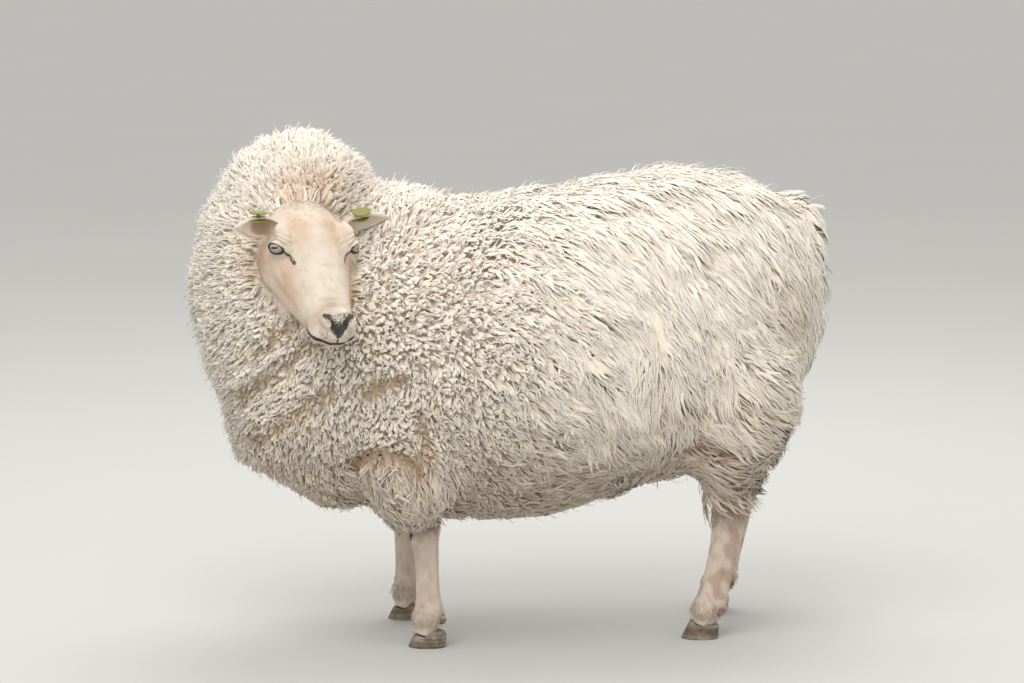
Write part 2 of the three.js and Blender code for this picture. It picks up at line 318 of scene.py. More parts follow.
def face_markings(q):
    """Weights of ginger, dark and bare on the face, from points on the head's axes."""
    m = mirrored(q)
    near_head = step(-np.linalg.norm(q - FACE_MIDDLE, axis=1), -0.30, -0.17)
    muzzle = step(q[:, 1], 0.195, 0.222)
    ginger = patches(m, GINGER_PATCHES) * (1 - 0.75 * patches(m, PALE_PATCHES)) * (1 - muzzle)
    away, share = from_segment(m, NOSTRIL_TOP, NOSE_BOTTOM)
    nostril = 1 - step(away, 0.0020, 0.0085 + 0.002 * share)
    down_nose = (m[:, 1] - NOSTRIL_TOP[1]) / (NOSE_BOTTOM[1] - NOSTRIL_TOP[1])
    inner = step(m[:, 0] - NOSTRIL_TOP[0] * (1 - down_nose), 0.004, -0.004)
    leather = inner * step(q[:, 1], 0.226, 0.246) * step(q[:, 2], -0.040, -0.030) * 0.85
    away, _ = from_segment(m, NOSE_BOTTOM, [0, 0.262, -0.044])
    groove = 1 - step(away, 0.0008, 0.0028)
    line = q[:, 2] - mouth_height(q[:, 1])
    lips = ridge(line + 0.0012, 0.0030) * step(q[:, 1], 0.206, 0.222)
    freckles = patches(m, FRECKLED_PATCHES)
    dark = np.maximum.reduce([nostril, leather, 0.8 * groove, 0.95 * lips, freckles]) * near_head
    bare = 0.30 * blob(m, [0, 0.245, -0.05], [0.045, 0.035, 0.05]) * near_head
    return ginger, dark, bare


# Lines on the eye's axes, each as its start and end: the inner corner, and the stripe below it.
INNER_CORNER = ([0.0105, -0.002, 0.006], [0.0170, -0.0035, 0.002])
TEAR_STRIPE = ([0.0160, -0.003, 0], [0.0345, -0.0150, 0])


def eye_markings(points):
    """The dark rims of the lids and the dark stripe below each eye's inner corner."""
    dark = np.zeros(len(points))
    for side in (-1, 1):
        e = (points - EYES[side]) @ eye_axes(side).T
        near = np.linalg.norm(e, axis=1) < 0.034
        ring = np.hypot(e[:, 0] / LID_HALF_LENGTH, e[:, 1] / lid_height(e[:, 1]))
        wide = np.where(e[:, 1] < 0, 0.42, 0.22)
        rim = (1 - step(ring, 1.02 + 0.5 * wide, 1.08 + wide)) * near
        away, _ = from_segment(e, *INNER_CORNER)
        corner = 1 - step(away, 0.0018, 0.0034)
        away, share = from_segment(e * [1, 1, 0.2], *TEAR_STRIPE)
        stripe = 1 - step(away, 0.0010 + 0.0016 * share, 0.0034 + 0.0030 * share)
        stripe *= (0.66 - 0.12 * share) * (np.abs(e[:, 2]) < 0.035)
        dark = np.maximum.reduce([dark, 0.95 * rim, 0.95 * corner, stripe])
    return dark


def inside_ears(q):
    """1 in the cups of the ears, where shade is painted, from points on the head's axes."""
    total = np.zeros(len(q))
    for base, tip, opening in EARS.values():
        cup = (q - base) @ opening
        away, share = from_segment(q, base, tip)
        inside = step(-away, -0.016, -0.010) * step(cup, -0.008, -0.003) * step(-cup, -0.018, -0.012)
        total = np.maximum(total, inside * step(-np.abs(share - 0.42), -0.52, -0.30))
    return total


def markings(points):
    """Weights of the coat's markings at points: ginger, soiled and shaded, dark and bare. The second
    carries soil and stains, and painted shade in the ear cups and the fleece's folds.
    """
    q = to_head(points)
    ginger, dark, bare = face_markings(q)
    behind = blob(points, from_head([0.085, 0.060, -0.075]), [0.040, 0.05, 0.045])
    poll = blob(q, [0.0, -0.030, -0.005], [0.10, 0.035, 0.035])
    ginger = np.clip(ginger + 0.9 * behind + 0.85 * poll, 0, 1)
    dark = np.maximum(dark, eye_markings(points))
    # Darker towards the bottom of the body, and less so on the shanks.
    low = step(-points[:, 2], -0.48, -0.20)
    shank = step(-points[:, 2], -0.25, -0.17)
    soiled_and_shaded = 0.50 * low * (1 - 0.6 * shank) + patches(points, SOILED_PATCHES)
    # Painted shade in the fleece's folds, in the brown tint, deeper where the folds are deeper.
    soiled_and_shaded += np.minimum(FOLD_SHADE_TINT * fold_depth(points), 0.85) * (points[:, 2] < 0.62)
    stain = step(wavy(points, 0.030, 5), -0.3, 0.7) * (0.35 + 0.5 * step(points[:, 0], 0.1, 0.2))
    soiled_and_shaded += shank * stain * step(points[:, 2], 0.02, 0.06)
    # Painted shade in the cups of the ears.
    soiled_and_shaded = np.maximum(soiled_and_shaded, inside_ears(q))
    bare = np.maximum(bare, 0.45 * shank)
    return np.clip(np.stack([ginger, soiled_and_shaded, dark, bare], 1), 0, 1)


NODE_REACH = 0.012


def distance_from(names, points):
    """How far each point is from the named nodes' surfaces, up to a limit."""
    tree = node_tree(names)
    return np.array([tree.find_nearest(Vector(p), NODE_REACH)[3] or NODE_REACH for p in points])


def node_tree(names):
    mesh = merged_copy(names)
    corners = [tuple(p) for p in corners_of(mesh)]
    return BVHTree.FromPolygons(corners, [tuple(p.vertices) for p in mesh.polygons])


def face_share(points):
    """1 where short hair grows, 0 where wool does."""
    q = to_head(points)
    ruff_edge = -0.004 + 0.030 * step(-q[:, 2], 0.02, 0.10)
    face = distance_from(FACE_NODES, points) < 0.0065
    face = face * step(q[:, 1] - ruff_edge, -0.006, 0.008)
    ear = distance_from(EAR_NODES, points) < 0.004
    shank = distance_from(SHANK_NODES, points) < 0.0055
    return np.maximum.reduce([face, ear, shank]).astype(float)


# ---- Materials -------------------------------------------------------------------------


class Paint:
    """Builds a material's nodes, one call each."""

    def __init__(self, name, roughness, **sockets):
        self.material = bpy.data.materials.new(name)
        self.material.use_nodes = True
        self.tree = self.material.node_tree
        self.shader = self.tree.nodes["Principled BSDF"]
        self.shader.inputs["Roughness"].default_value = roughness
        for key, value in sockets.items():
            self.shader.inputs[key.replace("_", " ")].default_value = value

    def node(self, kind, inputs=(), **settings):
        made = self.tree.nodes.new("ShaderNode" + kind)
        for key, value in settings.items():
            setattr(made, key, value)
        for key, value in dict(inputs).items():
            if isinstance(value, bpy.types.NodeSocket):
                self.tree.links.new(value, made.inputs[key])
            else:
                made.inputs[key].default_value = value
        return made

    def scaled(self, vector, scale):
        return self.node("Mapping", {"Vector": vector, "Scale": scale}).outputs["Vector"]

    def place(self, scale=(1, 1, 1)):
        return self.scaled(self.node("TexCoord").outputs["Object"], scale)

    def attribute(self, name, output="Color"):
        return self.node("Attribute", attribute_name=name).outputs[output]

    def noise(self, vector, scale, detail=3.0, roughness=0.55):
        inputs = {"Vector": vector, "Scale": scale, "Detail": detail, "Roughness": roughness}
        return self.node("TexNoise", inputs).outputs["Fac"]

    def ramp(self, value, low, high):
        inputs = {"Value": value, "From Min": low, "From Max": high}
        return self.node("MapRange", inputs, interpolation_type="SMOOTHSTEP").outputs["Result"]

    def maths(self, operation, a, b=0.0):
        return self.node("Math", {0: a, 1: b}, operation=operation).outputs[0]

    def times(self, a, b):
        return self.maths("MULTIPLY", a, b)

    def mix(self, factor, a, b, blend="MIX"):
        made = self.node("Mix", data_type="RGBA", blend_type=blend)
        for socket, value in ((made.inputs[0], factor), (made.inputs[6], a), (made.inputs[7], b)):
            if isinstance(value, bpy.types.NodeSocket):
                self.tree.links.new(value, socket)
            elif isinstance(value, (float, int)):
                socket.default_value = value
            else:
                socket.default_value = (*value[:3], 1.0)
        return made.outputs[2]

    def bump(self, height, strength, distance, normal=None):
        inputs = {"Height": height, "Strength": strength, "Distance": distance}
        if normal is not None:
            inputs["Normal"] = normal
        return self.node("Bump", inputs).outputs["Normal"]

    def colour(self, value):
        self.tree.links.new(value, self.shader.inputs["Base Color"])

    def normal(self, value):
        self.tree.links.new(value, self.shader.inputs["Normal"])


def marked(paint, base, settings):
    """The base colour tinted by the coat's markings, and the weights of dark and of bare."""
    marks = paint.node("SeparateColor", {"Color": paint.attribute("marks")})
    ginger, soiled_and_shaded, dark = marks.outputs[:3]
    colour = paint.mix(paint.times(ginger, 0.85), base, settings.ginger, "MULTIPLY")
    # One tint for soil and for the painted shade of the ear cups and folds.
    colour = paint.mix(paint.times(soiled_and_shaded, 0.9), colour, settings.soil_and_shade, "MULTIPLY")
    return colour, dark, paint.attribute("marks", "Alpha")


def make_skin_material(settings):
    paint = Paint("skin_under_short_hair", 0.72)
    at = paint.place()
    hair = paint.attribute("hair", "Fac")
    speckle = paint.noise(at, 900.0, 2.0)
    patches = paint.noise(at, 60.0, 3.0)
    short = paint.mix(paint.ramp(patches, 0.42, 0.85), settings.hair, settings.hair_shade)
    short = paint.mix(paint.ramp(speckle, 0.54, 0.90), short, settings.hair_root)
    fluff = paint.ramp(paint.noise(at, 160.0, 4.0), 0.3, 0.7)
    wool = paint.mix(fluff, settings.wool_root, settings.wool)
    colour, dark, bare = marked(paint, paint.mix(hair, wool, short), settings)
    colour = paint.mix(paint.times(bare, 0.75), colour, settings.bare_skin)
    grain = paint.ramp(paint.noise(at, 420.0, 2.0), 0.36, 0.64)
    blotched = paint.times(dark, paint.maths("ADD", paint.times(grain, 0.8), 0.6))
    paint.colour(paint.mix(paint.ramp(blotched, 0.18, 0.62), colour, settings.nose))
    hairs = paint.noise(paint.place((1, 1, 0.25)), 750.0, 2.0)
    folds = paint.noise(at, 190.0, 3.0)
    paint.normal(paint.bump(hairs, 0.7, 0.0009, paint.bump(folds, 0.3, 0.0012)))
    return paint.material


def make_wool_material(settings, name, crimps):
    """Wool whose streaks run along each lock, on the lock's own map."""
    paint = Paint(name, 0.85, Specular_IOR_Level=0.25, Sheen_Weight=0.06, Sheen_Roughness=0.5)
    lock = paint.attribute("lock", "Vector")
    parts = paint.node("SeparateXYZ", {"Vector": lock})
    tone = paint.attribute("tone", "Fac")
    base = paint.mix(paint.ramp(parts.outputs["Y"], 0.0, 0.6), settings.wool_root, settings.wool)
    base = paint.mix(paint.ramp(tone, 0.25, 0.9), base, settings.wool_tip)
    strands = paint.noise(paint.scaled(lock, (9.0, 1.6, 1.0)), 1.0, 3.0, 0.6)
    base = paint.mix(paint.ramp(strands, 0.56, 0.36), base, settings.wool_shade, "MULTIPLY")
    colour, _, _ = marked(paint, base, settings)
    paint.colour(colour)
    crimp = paint.noise(paint.scaled(lock, (1.5, crimps, 1.0)), 1.0, 2.0)
    paint.normal(paint.bump(strands, 0.6, 0.0012, paint.bump(crimp, 0.35, 0.0015)))
    return paint.material


def make_short_hair_material(settings):
    paint = Paint("short_hair_tufts", 0.75, Sheen_Weight=0.15, Sheen_Roughness=0.5)
    parts = paint.node("SeparateXYZ", {"Vector": paint.attribute("lock", "Vector")})
    tone = paint.attribute("tone", "Fac")
    base = paint.mix(paint.ramp(parts.outputs["Y"], 0.0, 0.6), settings.hair_shade, settings.hair)
    base = paint.mix(paint.ramp(tone, 0.55, 0.0), base, settings.hair_shade)
    colour, dark, bare = marked(paint, base, settings)
    colour = paint.mix(paint.times(bare, 0.5), colour, settings.bare_skin)
    paint.colour(paint.mix(paint.ramp(dark, 0.3, 0.8), colour, settings.nose))
    return paint.material


def make_horn_material(settings):
    paint = Paint("hoof_horn", 0.55)
    at = paint.place()
    rings = paint.noise(paint.place((8, 8, 160)), 1.0, 3.0)
    mottle = paint.noise(at, 70.0, 4.0)
    colour = paint.mix(paint.ramp(mottle, 0.35, 0.7), settings.horn, settings.horn_pale)
    paint.colour(paint.mix(paint.ramp(rings, 0.6, 0.4), colour, settings.soil_and_shade, "MULTIPLY"))
    scuffs = paint.noise(at, 420.0, 3.0)
    paint.normal(paint.bump(scuffs, 0.3, 0.0006, paint.bump(rings, 0.6, 0.0015)))
    return paint.material


def make_tag_material(settings):
    paint = Paint("ear_tag_plastic", 0.42)
    at = paint.place()
    worn = paint.noise(at, 120.0, 4.0)
    colour = paint.mix(paint.ramp(worn, 0.45, 0.75), settings.tag, settings.tag_worn)
    specks = paint.ramp(paint.noise(at, 500.0, 2.0), 0.6, 0.85)
    paint.colour(paint.mix(specks, colour, settings.soil_and_shade, "MULTIPLY"))
    paint.normal(paint.bump(worn, 0.25, 0.0006))
    return paint.material


IRIS_RADIUS = 0.0115
PUPIL_HALF_LENGTH = 0.0064
PUPIL_HALF_HEIGHT = 0.0019
PUPIL_COLOUR = (0.006, 0.006, 0.008)


def make_eye_material(settings):
    """Pale iris with a level slit pupil, on the gaze of each eyeball."""
    paint = Paint("eyeball", 0.06, Coat_Weight=1.0, Coat_Roughness=0.03, Specular_IOR_Level=0.6)
    eye = paint.attribute("gaze", "Vector")
    parts = paint.node("SeparateXYZ", {"Vector": eye})
    x, y = parts.outputs["X"], parts.outputs["Y"]
    radius = paint.maths("SQRT", paint.maths("ADD", paint.times(x, x), paint.times(y, y)))
    fibres = paint.noise(paint.scaled(eye, (90.0, 90.0, 90.0)), 9.0, 4.0)
    iris = paint.mix(paint.ramp(fibres, 0.35, 0.7), settings.iris, settings.iris_dark)
    rim = paint.ramp(radius, IRIS_RADIUS - 0.0035, IRIS_RADIUS - 0.0005)
    iris = paint.mix(rim, iris, settings.iris_dark)
    bars = []
    for axis, reach in ((x, PUPIL_HALF_LENGTH), (y, PUPIL_HALF_HEIGHT)):
        share = paint.maths("DIVIDE", paint.maths("ABSOLUTE", axis), reach)
        bars.append(paint.maths("POWER", share, 3.0))
    pupil = paint.ramp(paint.maths("ADD", *bars), 1.25, 0.8)
    iris = paint.mix(pupil, iris, PUPIL_COLOUR)
    white = paint.ramp(radius, IRIS_RADIUS - 0.0007, IRIS_RADIUS + 0.0007)
    paint.colour(paint.mix(white, iris, settings.sclera))
    return paint.material


# ---- Sizes and colours a user may change -----------------------------------------------


def colour_property(name, description, value):
    return FloatVectorProperty(
        name=name, description=description, default=value, size=3, min=0, max=1, subtype="COLOR"
    )


def length_property(name, description, value):
    return FloatProperty(
        name=name, description=description, default=value, min=0, unit="LENGTH", subtype="DISTANCE"
    )


def count_property(name, description, value):
    return IntProperty(name=name, description=description, default=value, min=10)


class EweFleeceSettings(bpy.types.PropertyGroup):
    depth: length_property("Fleece depth", "From the skin to the tips of the wool", 0.022)
    curl_length: length_property("Curl length", "Length of the crimped locks of the fore half", 0.040)
    curl_radius: length_property("Curl radius", "How wide each curl of the fore half winds", 0.0030)
    lock_length: length_property("Lock length", "Length of the wavy locks of the hind half", 0.085)
    staples: count_property("Staples", "Number of thick short locks", 11000)
    curls: count_property("Curls", "Number of fine short locks", 17500)
    locks: count_property("Locks", "Number of broad long locks", 8000)
    strands: count_property("Strands", "Number of fine long locks", 13500)
    wisps: count_property("Wisps", "Number of fine strands that stand off", 3200)
    hairs: count_property("Hair tufts", "Number of short tufts", 5000)
    wool_tip: colour_property("Wool tips", "Colour of the weathered tips", (0.96, 0.92, 0.85))
    wool: colour_property("Wool", "Colour along the locks", (0.90, 0.82, 0.71))
    wool_shade: colour_property("Wool shade", "Tint between the strands", (0.90, 0.83, 0.74))
    wool_root: colour_property("Wool roots", "Colour deep in the fleece", (0.79, 0.67, 0.52))


class EweColourSettings(bpy.types.PropertyGroup):
    hair: colour_property("Short hair", "Colour of the face and legs", (0.68, 0.60, 0.50))
    hair_shade: colour_property("Short hair shade", "Darker hair of the face", (0.56, 0.46, 0.35))
    hair_root: colour_property("Short hair roots", "Specks between the hairs", (0.42, 0.32, 0.23))
    bare_skin: colour_property("Bare skin", "Thinly haired skin", (0.64, 0.50, 0.43))
    ginger: colour_property("Ginger tint", "Tint of the brow, cheeks and poll", (0.72, 0.45, 0.24))
    # The tint of soil and stains, and of the painted shade in the ear cups and the fleece's folds.
    soil_and_shade: colour_property("Soiled and shaded tint", "Tint of the belly, thighs and shanks", (0.52, 0.42, 0.33))
    nose: colour_property("Nose leather", "Colour of the nose, lips and lids", (0.036, 0.031, 0.031))
    horn: colour_property("Horn", "Colour of the hooves", (0.17, 0.145, 0.115))
    horn_pale: colour_property("Pale horn", "Worn parts of the hooves", (0.33, 0.28, 0.22))
    tag: colour_property("Ear tags", "Colour of the tags", (0.20, 0.195, 0.02))
    tag_worn: colour_property("Worn ear tags", "Faded parts of the tags", (0.26, 0.27, 0.06))
    iris: colour_property("Iris", "Colour of the iris", (0.42, 0.38, 0.30))
    iris_dark: colour_property("Iris edge", "Colour of the iris's rim and fibres", (0.24, 0.21, 0.15))
    sclera: colour_property("White of the eye", "Colour outside the iris", (0.05, 0.04, 0.035))


class Palette:
    """Both groups' colours under one name."""

    def __getattr__(self, name):
        scene = bpy.context.scene
        group = scene.ewe_fleece if hasattr(scene.ewe_fleece, name) else scene.ewe_colours
        return tuple(getattr(group, name))


# ---- Camera and stage ------------------------------------------------------------------


CAMERA_AZIMUTH = math.radians(-8)
CAMERA_ELEVATION = math.radians(8)
CAMERA_DISTANCE = 6.0
CAMERA_TARGET = Vector((0.0056, 0.0280, 0.487))
LENS_MM = 127
SENSOR_MM = 36

FLOOR_HALF_SIZE = 400.0
FLOOR_GREYS = ((0.53, 0.53, 0.52), (0.56, 0.56, 0.55))
SKY_COLOUR = (1.0, 0.985, 0.955, 1)
SKY_STRENGTH = 0.88

# Round lamps over the ewe: name, place, breadth, power and colour, all aimed at one point.
LAMPS = [
    ("key", (-1.2, -2.4, 3.6), 3.2, 88, (1.0, 0.985, 0.96)),
    ("back", (0.5, 1.6, 3.6), 3.0, 65, (1.0, 0.98, 0.95)),
]
LAMPS_AIM = Vector((0, 0, 0.45))


def set_up(name, data, place, direction):
    """A camera or lamp in the scene, looking along a direction."""
    obj = bpy.data.objects.new(name, data)
    obj.location = place
    obj.rotation_mode = "QUATERNION"
    obj.rotation_quaternion = direction.to_track_quat("-Z", "Y")
    bpy.context.scene.collection.objects.link(obj)
    return obj


class EWE_OT_stage(bpy.types.Operator):
    """Pale floor, soft lights and the camera"""

    bl_idname = "ewe.stage"
    bl_label = "Stage"

    def execute(self, context):
        scene = context.scene
        scene.camera = self.camera()
        self.floor(scene)
        world = bpy.data.worlds.new("studio")
        world.use_nodes = True
        background = world.node_tree.nodes["Background"]
        background.inputs["Color"].default_value = SKY_COLOUR
        background.inputs["Strength"].default_value = SKY_STRENGTH
        scene.world = world
        scene.view_settings.view_transform = "Standard"
        for lamp in LAMPS:
            self.lamp(*lamp)
        return {"FINISHED"}

    def camera(self):
        level = math.cos(CAMERA_ELEVATION)
        back = Vector((
            math.sin(CAMERA_AZIMUTH) * level,
            -math.cos(CAMERA_AZIMUTH) * level,
            math.sin(CAMERA_ELEVATION),
        ))
        data = bpy.data.cameras.new("camera")
        data.lens = LENS_MM
        data.sensor_width = SENSOR_MM
        return set_up("camera", data, CAMERA_TARGET + back * CAMERA_DISTANCE, -back)

    def floor(self, scene):
        bm = bmesh.new()
        bmesh.ops.create_grid(bm, x_segments=1, y_segments=1, size=FLOOR_HALF_SIZE)
        floor = bpy.data.objects.new("floor", finished(bm, "floor"))
        scene.collection.objects.link(floor)
        paint = Paint("pale_floor", 0.9)
        paint.colour(paint.mix(paint.noise(paint.place(), 1.2, 3.0), *FLOOR_GREYS))
        floor.data.materials.append(paint.material)
        return floor

    def lamp(self, name, place, breadth, power, colour):
        data = bpy.data.lights.new(name, "AREA")
        data.shape = "DISK"
        data.size = breadth
        data.energy = power
        data.color = colour
        set_up(name, data, place, LAMPS_AIM - Vector(place))


# ---- Skin ------------------------------------------------------------------------------

BODY_VOXEL = 0.009
HEAD_VOXEL = 0.0020
SHANK_VOXEL = 0.0032
SINKING_STEPS = 4


def make_body_skin(depth):
    """The woolled flesh, moved in by the fleece's depth in steps, and by less on the tail and legs."""
    mesh = remeshed(merged_copy(FLEECE_NODES + ["head", "lower_jaw"]), BODY_VOXEL)
    smooth = smoothing(mesh)
    co = smooth(corners_of(mesh), 0.6, 6)
    reshape(mesh, co)
    for _ in range(SINKING_STEPS):
        tail = blob(co, node_middle("tail"), [0.05, 0.06, 0.11])
        hem = step(-co[:, 2], -0.27, -0.22)
        inward = depth * (1 - 0.55 * tail) * (1 - 0.4 * hem) / SINKING_STEPS
        co = smooth(co - normals_of(mesh) * inward[:, None], 0.5, 2)
        reshape(mesh, co)
    return remeshed(mesh, BODY_VOXEL)


LID_REACH = 0.036
LID_THICKNESS = 0.0016
INSIDE_EYE = 0.0050


def eyeball_height(u, v):
    """How far the eyeball stands out of its middle, at places across it."""
    across = np.minimum(u * u + v * v, (0.97 * EYE_RADIUS) ** 2)
    return np.sqrt(np.clip(EYE_RADIUS**2 - across, 0, None))


def shape_lids(points):
    """Opens the eyes, and lays the lids on the eyeballs."""
    for side in (-1, 1):
        axes = eye_axes(side)
        e = (points - EYES[side]) @ axes.T
        near = (np.linalg.norm(e, axis=1) < LID_REACH) & (e[:, 2] > -0.010)
        u, v = e[:, 0], e[:, 1]
        ring = np.hypot(u / LID_HALF_LENGTH, v / lid_height(v))
        ball = eyeball_height(u, v)
        upper = step(v, -0.002, 0.004)
        lid = LID_THICKNESS + (0.0012 + 0.0014 * upper) * ridge(ring - 1.22, 0.22)
        covered = step(ring, 0.90, 1.04)
        target = (ball - INSIDE_EYE) * (1 - covered) + (ball + lid) * covered
        reach = 1 - step(ring, 1.35, 2.3)
        moved = e.copy()
        moved[:, 2] += np.where(near, (target - e[:, 2]) * reach, 0)
        points = np.where(near[:, None], moved @ axes + EYES[side], points)
    return points


# Where the face swells (+) or sinks (-): name, 1 where both halves have it, centre, radii and depth, in mm.
FACE_FORMS = [
    ("brow fold over the eye", 1, (58, 64, -4), (12, 22, 9), 2.0),
    ("hollow before the eye", 1, (48, 116, -26), (10, 16, 12), -2.5),
    ("cheek bone", 1, (60, 118, -56), (12, 34, 9), 2.5),
    ("hollow under the cheek bone", 1, (52, 156, -72), (12, 26, 14), -2.5),
    ("jaw muscle", 1, (64, 78, -88), (16, 32, 28), 2.5),
    ("bridge", 0, (0, 140, -4), (18, 60, 20), 2.5),
    ("side of the bridge", 1, (36, 170, -22), (9, 40, 12), -2.0),
    ("forehead", 0, (0, 40, 4), (30, 32, 18), 2.0),
    ("hollow over the nose", 0, (0, 212, -8), (18, 12, 12), -2.0),
    ("wing of the nostril", 1, (27, 234, -15), (6, 9, 9), 2.2),
    ("upper lip", 1, (22, 250, -36), (12, 14, 9), 3.0),
    ("side of the lip", 1, (38, 230, -40), (12, 18, 12), 2.0),
    ("chin", 0, (0, 250, -62), (18, 16, 9), 1.5),
    ("under the lip", 0, (0, 262, -52), (30, 12, 5), -2.0),
    ("first wrinkle of the bridge", 0, (0, 197, -8), (30, 3.4, 16), -1.7),
    ("second wrinkle of the bridge", 0, (0, 209, -10), (26, 3.0, 16), -1.2),
    ("wrinkle behind the nostril", 1, (30, 218, -22), (10, 3.4, 12), -1.5),
]


LID_FOLDS = 3
MOUTH_DEPTH = 0.0048
NOSTRIL_DEPTH = 0.0062
GROOVE_DEPTH = 0.0030


def lid_folds(points):
    """How deep the folds over the eyes are, in metres."""
    depth = np.zeros(len(points))
    for side in (-1, 1):
        e = (points - EYES[side]) @ eye_axes(side).T
        over_eye = (e[:, 2] > -0.012) * (np.linalg.norm(e, axis=1) < 0.042)
        over_eye = over_eye * step(e[:, 1], 0.003, 0.009)
        for fold in range(LID_FOLDS):
            arc = np.hypot(e[:, 0] / 1.35, e[:, 1] + 0.004) - (0.0165 + 0.0050 * fold)
            depth += (0.0019 - 0.0004 * fold) * ridge(arc, 0.0013) * over_eye
    return depth


def shape_face(points, normals):
    """The swells, folds, nostrils and mouth of the face."""
    q = to_head(points)
    on_face = (q[:, 2] > -0.16) * (q[:, 2] < 0.05) * (np.abs(q[:, 0]) < 0.09)
    on_face = on_face * step(q[:, 1], -0.01, 0.02)
    height = -lid_folds(points)
    for _, both, centre, radii, depth in FACE_FORMS:
        for side in (-1, 1) if both else (1,):
            place = np.array(centre) * [side, 1, 1] / 1000
            height += depth / 1000 * blob(q, place, np.array(radii) / 1000)
    slit = ridge(q[:, 2] - mouth_height(q[:, 1]), 0.0022)
    height -= MOUTH_DEPTH * slit * step(q[:, 1], 0.202, 0.217)
    points = points + normals * (height * on_face)[:, None]
    m = mirrored(to_head(points))
    away, share = from_segment(m, NOSTRIL_TOP, NOSE_BOTTOM)
    sunk = NOSTRIL_DEPTH * ridge(away, 0.0042) * (1 - 0.65 * share)
    away, _ = from_segment(m, NOSE_BOTTOM, [0, 0.264, -0.044])
    sunk += GROOVE_DEPTH * ridge(away, 0.0022)
    return points - (sunk * on_face)[:, None] * unit(HEAD[1] + 0.6 * HEAD[2])


LID_GRID_REACH = 0.027


def finer_at_eyes(mesh):
    """The mesh with its edges split round both eyes, to carry the lids."""
    bm = bmesh.new()
    bm.from_mesh(mesh)
    eyes = [Vector(place) for place in EYES.values()]
    finer = [e for e in bm.edges if min((e.verts[0].co - eye).length for eye in eyes) < LID_GRID_REACH]
    bmesh.ops.subdivide_edges(bm, edges=finer, cuts=1, use_grid_fill=True)
    bmesh.ops.triangulate(bm, faces=[f for f in bm.faces if len(f.verts) > 4])
    return finished(bm, "working")


def make_head_skin():
    """The short-haired face, and the ears, which are smoothed less so that they stay thin."""
    mesh = remeshed(merged_copy(FACE_NODES + EAR_NODES), HEAD_VOXEL)
    smooth = smoothing(mesh)
    co = corners_of(mesh)
    q = to_head(co)
    ear = (step(np.abs(q[:, 0]), 0.068, 0.082) * (q[:, 1] < 0.07))[:, None]
    co = smooth(co, 0.5, 14) * (1 - ear) + smooth(co, 0.5, 3) * ear
    reshape(mesh, co)
    reshape(mesh, co - normals_of(mesh) * 0.0016 * (1 - 0.75 * ear))
    mesh = finer_at_eyes(mesh)
    co = shape_face(corners_of(mesh), normals_of(mesh))
    reshape(mesh, shape_lids(co))
    return mesh


# Heights over the floor.
FETLOCK_HEIGHT = 0.050
PASTERN_HEIGHT = 0.030


def make_shank_skin():
    """The short-haired legs: joints, tendons and pasterns."""
    mesh = remeshed(merged_copy(SHANK_NODES), SHANK_VOXEL)
    smooth = smoothing(mesh)
    co = corners_of(mesh)
    for _ in range(10):
        co = smooth(smooth(co, 0.5), -0.52)
    reshape(mesh, co)
    normals = normals_of(mesh)
    height = np.full(len(co), -0.0008)
    for kind, hand in FEET:
        low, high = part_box(f"{kind}leg_lower_{hand}")
        axis_y = (low.y + high.y) / 2
        near = np.abs(co[:, 1] - axis_y) < 0.06
        near &= (co[:, 0] > low.x - 0.01) & (co[:, 0] < high.x + 0.01)
        side = (co[:, 1] - axis_y) / 0.02
        groove = ridge(np.abs(side) - 0.75, 0.25) * step(normals[:, 0], -0.1, 0.4)
        height -= near * 0.0022 * groove * step(co[:, 2], 0.05, 0.09) * (co[:, 2] < 0.2)
        height += near * 0.0025 * ridge(co[:, 2] - FETLOCK_HEIGHT, 0.012)
        height -= near * 0.0022 * ridge(co[:, 2] - PASTERN_HEIGHT, 0.008)
    reshape(mesh, co + normals * height[:, None])
    return mesh


def united(meshes):
    """One closed mesh of several that pass into each other."""
    whole = meshes[0]
    for other in meshes[1:]:
        tool = bpy.data.objects.new("tool", other)
        bpy.context.scene.collection.objects.link(tool)
        union = {"operation": "UNION", "solver": "MANIFOLD", "object": tool}
        whole = through(whole, ("BOOLEAN", union))
        bpy.data.objects.remove(tool)
    return whole


def unwrap(obj):
    """A flat map of the skin's own shape."""
    mesh = obj.data
    layer = mesh.uv_layers.new(name="OFBake")
    mesh.uv_layers.active = layer
    bpy.context.view_layer.objects.active = obj
    obj.select_set(True)
    bpy.ops.object.mode_set(mode="EDIT")
    bpy.ops.mesh.select_all(action="SELECT")
    angle = math.radians(66)
    bpy.ops.uv.smart_project(angle_limit=angle, island_margin=0.001, scale_to_bounds=False)
    bpy.ops.object.mode_set(mode="OBJECT")
    obj.select_set(False)


class EWE_OT_skin(bpy.types.Operator):
    """One closed skin over the trunk, neck, tail, legs, head and ears"""

    bl_idname = "ewe.skin"
    bl_label = "Skin"

    def execute(self, context):
        depth = context.scene.ewe_fleece.depth
        mesh = united([make_body_skin(depth), make_head_skin(), make_shank_skin()])
        shade_smooth(mesh)
        points = corners_of(mesh)
        write_attribute(mesh, "marks", "FLOAT_COLOR", markings(points))
        write_attribute(mesh, "hair", "FLOAT", face_share(points))
        material = make_skin_material(Palette())
        flesh = FLEECE_NODES + HEAD_NODES + SHANK_NODES
        unwrap(placed("skin", mesh, [material], flesh))
        return {"FINISHED"}


# ---- Locks -----------------------------------------------------------------------------

TRIANGLES_A_PIECE = 190000
TUBE_SIDES = 3
LOCK_MAP_SIZE = 0.003
# How far the locks' shading follows the body's form rather than their own. It is halved underneath.
BODY_SHADING = 0.6


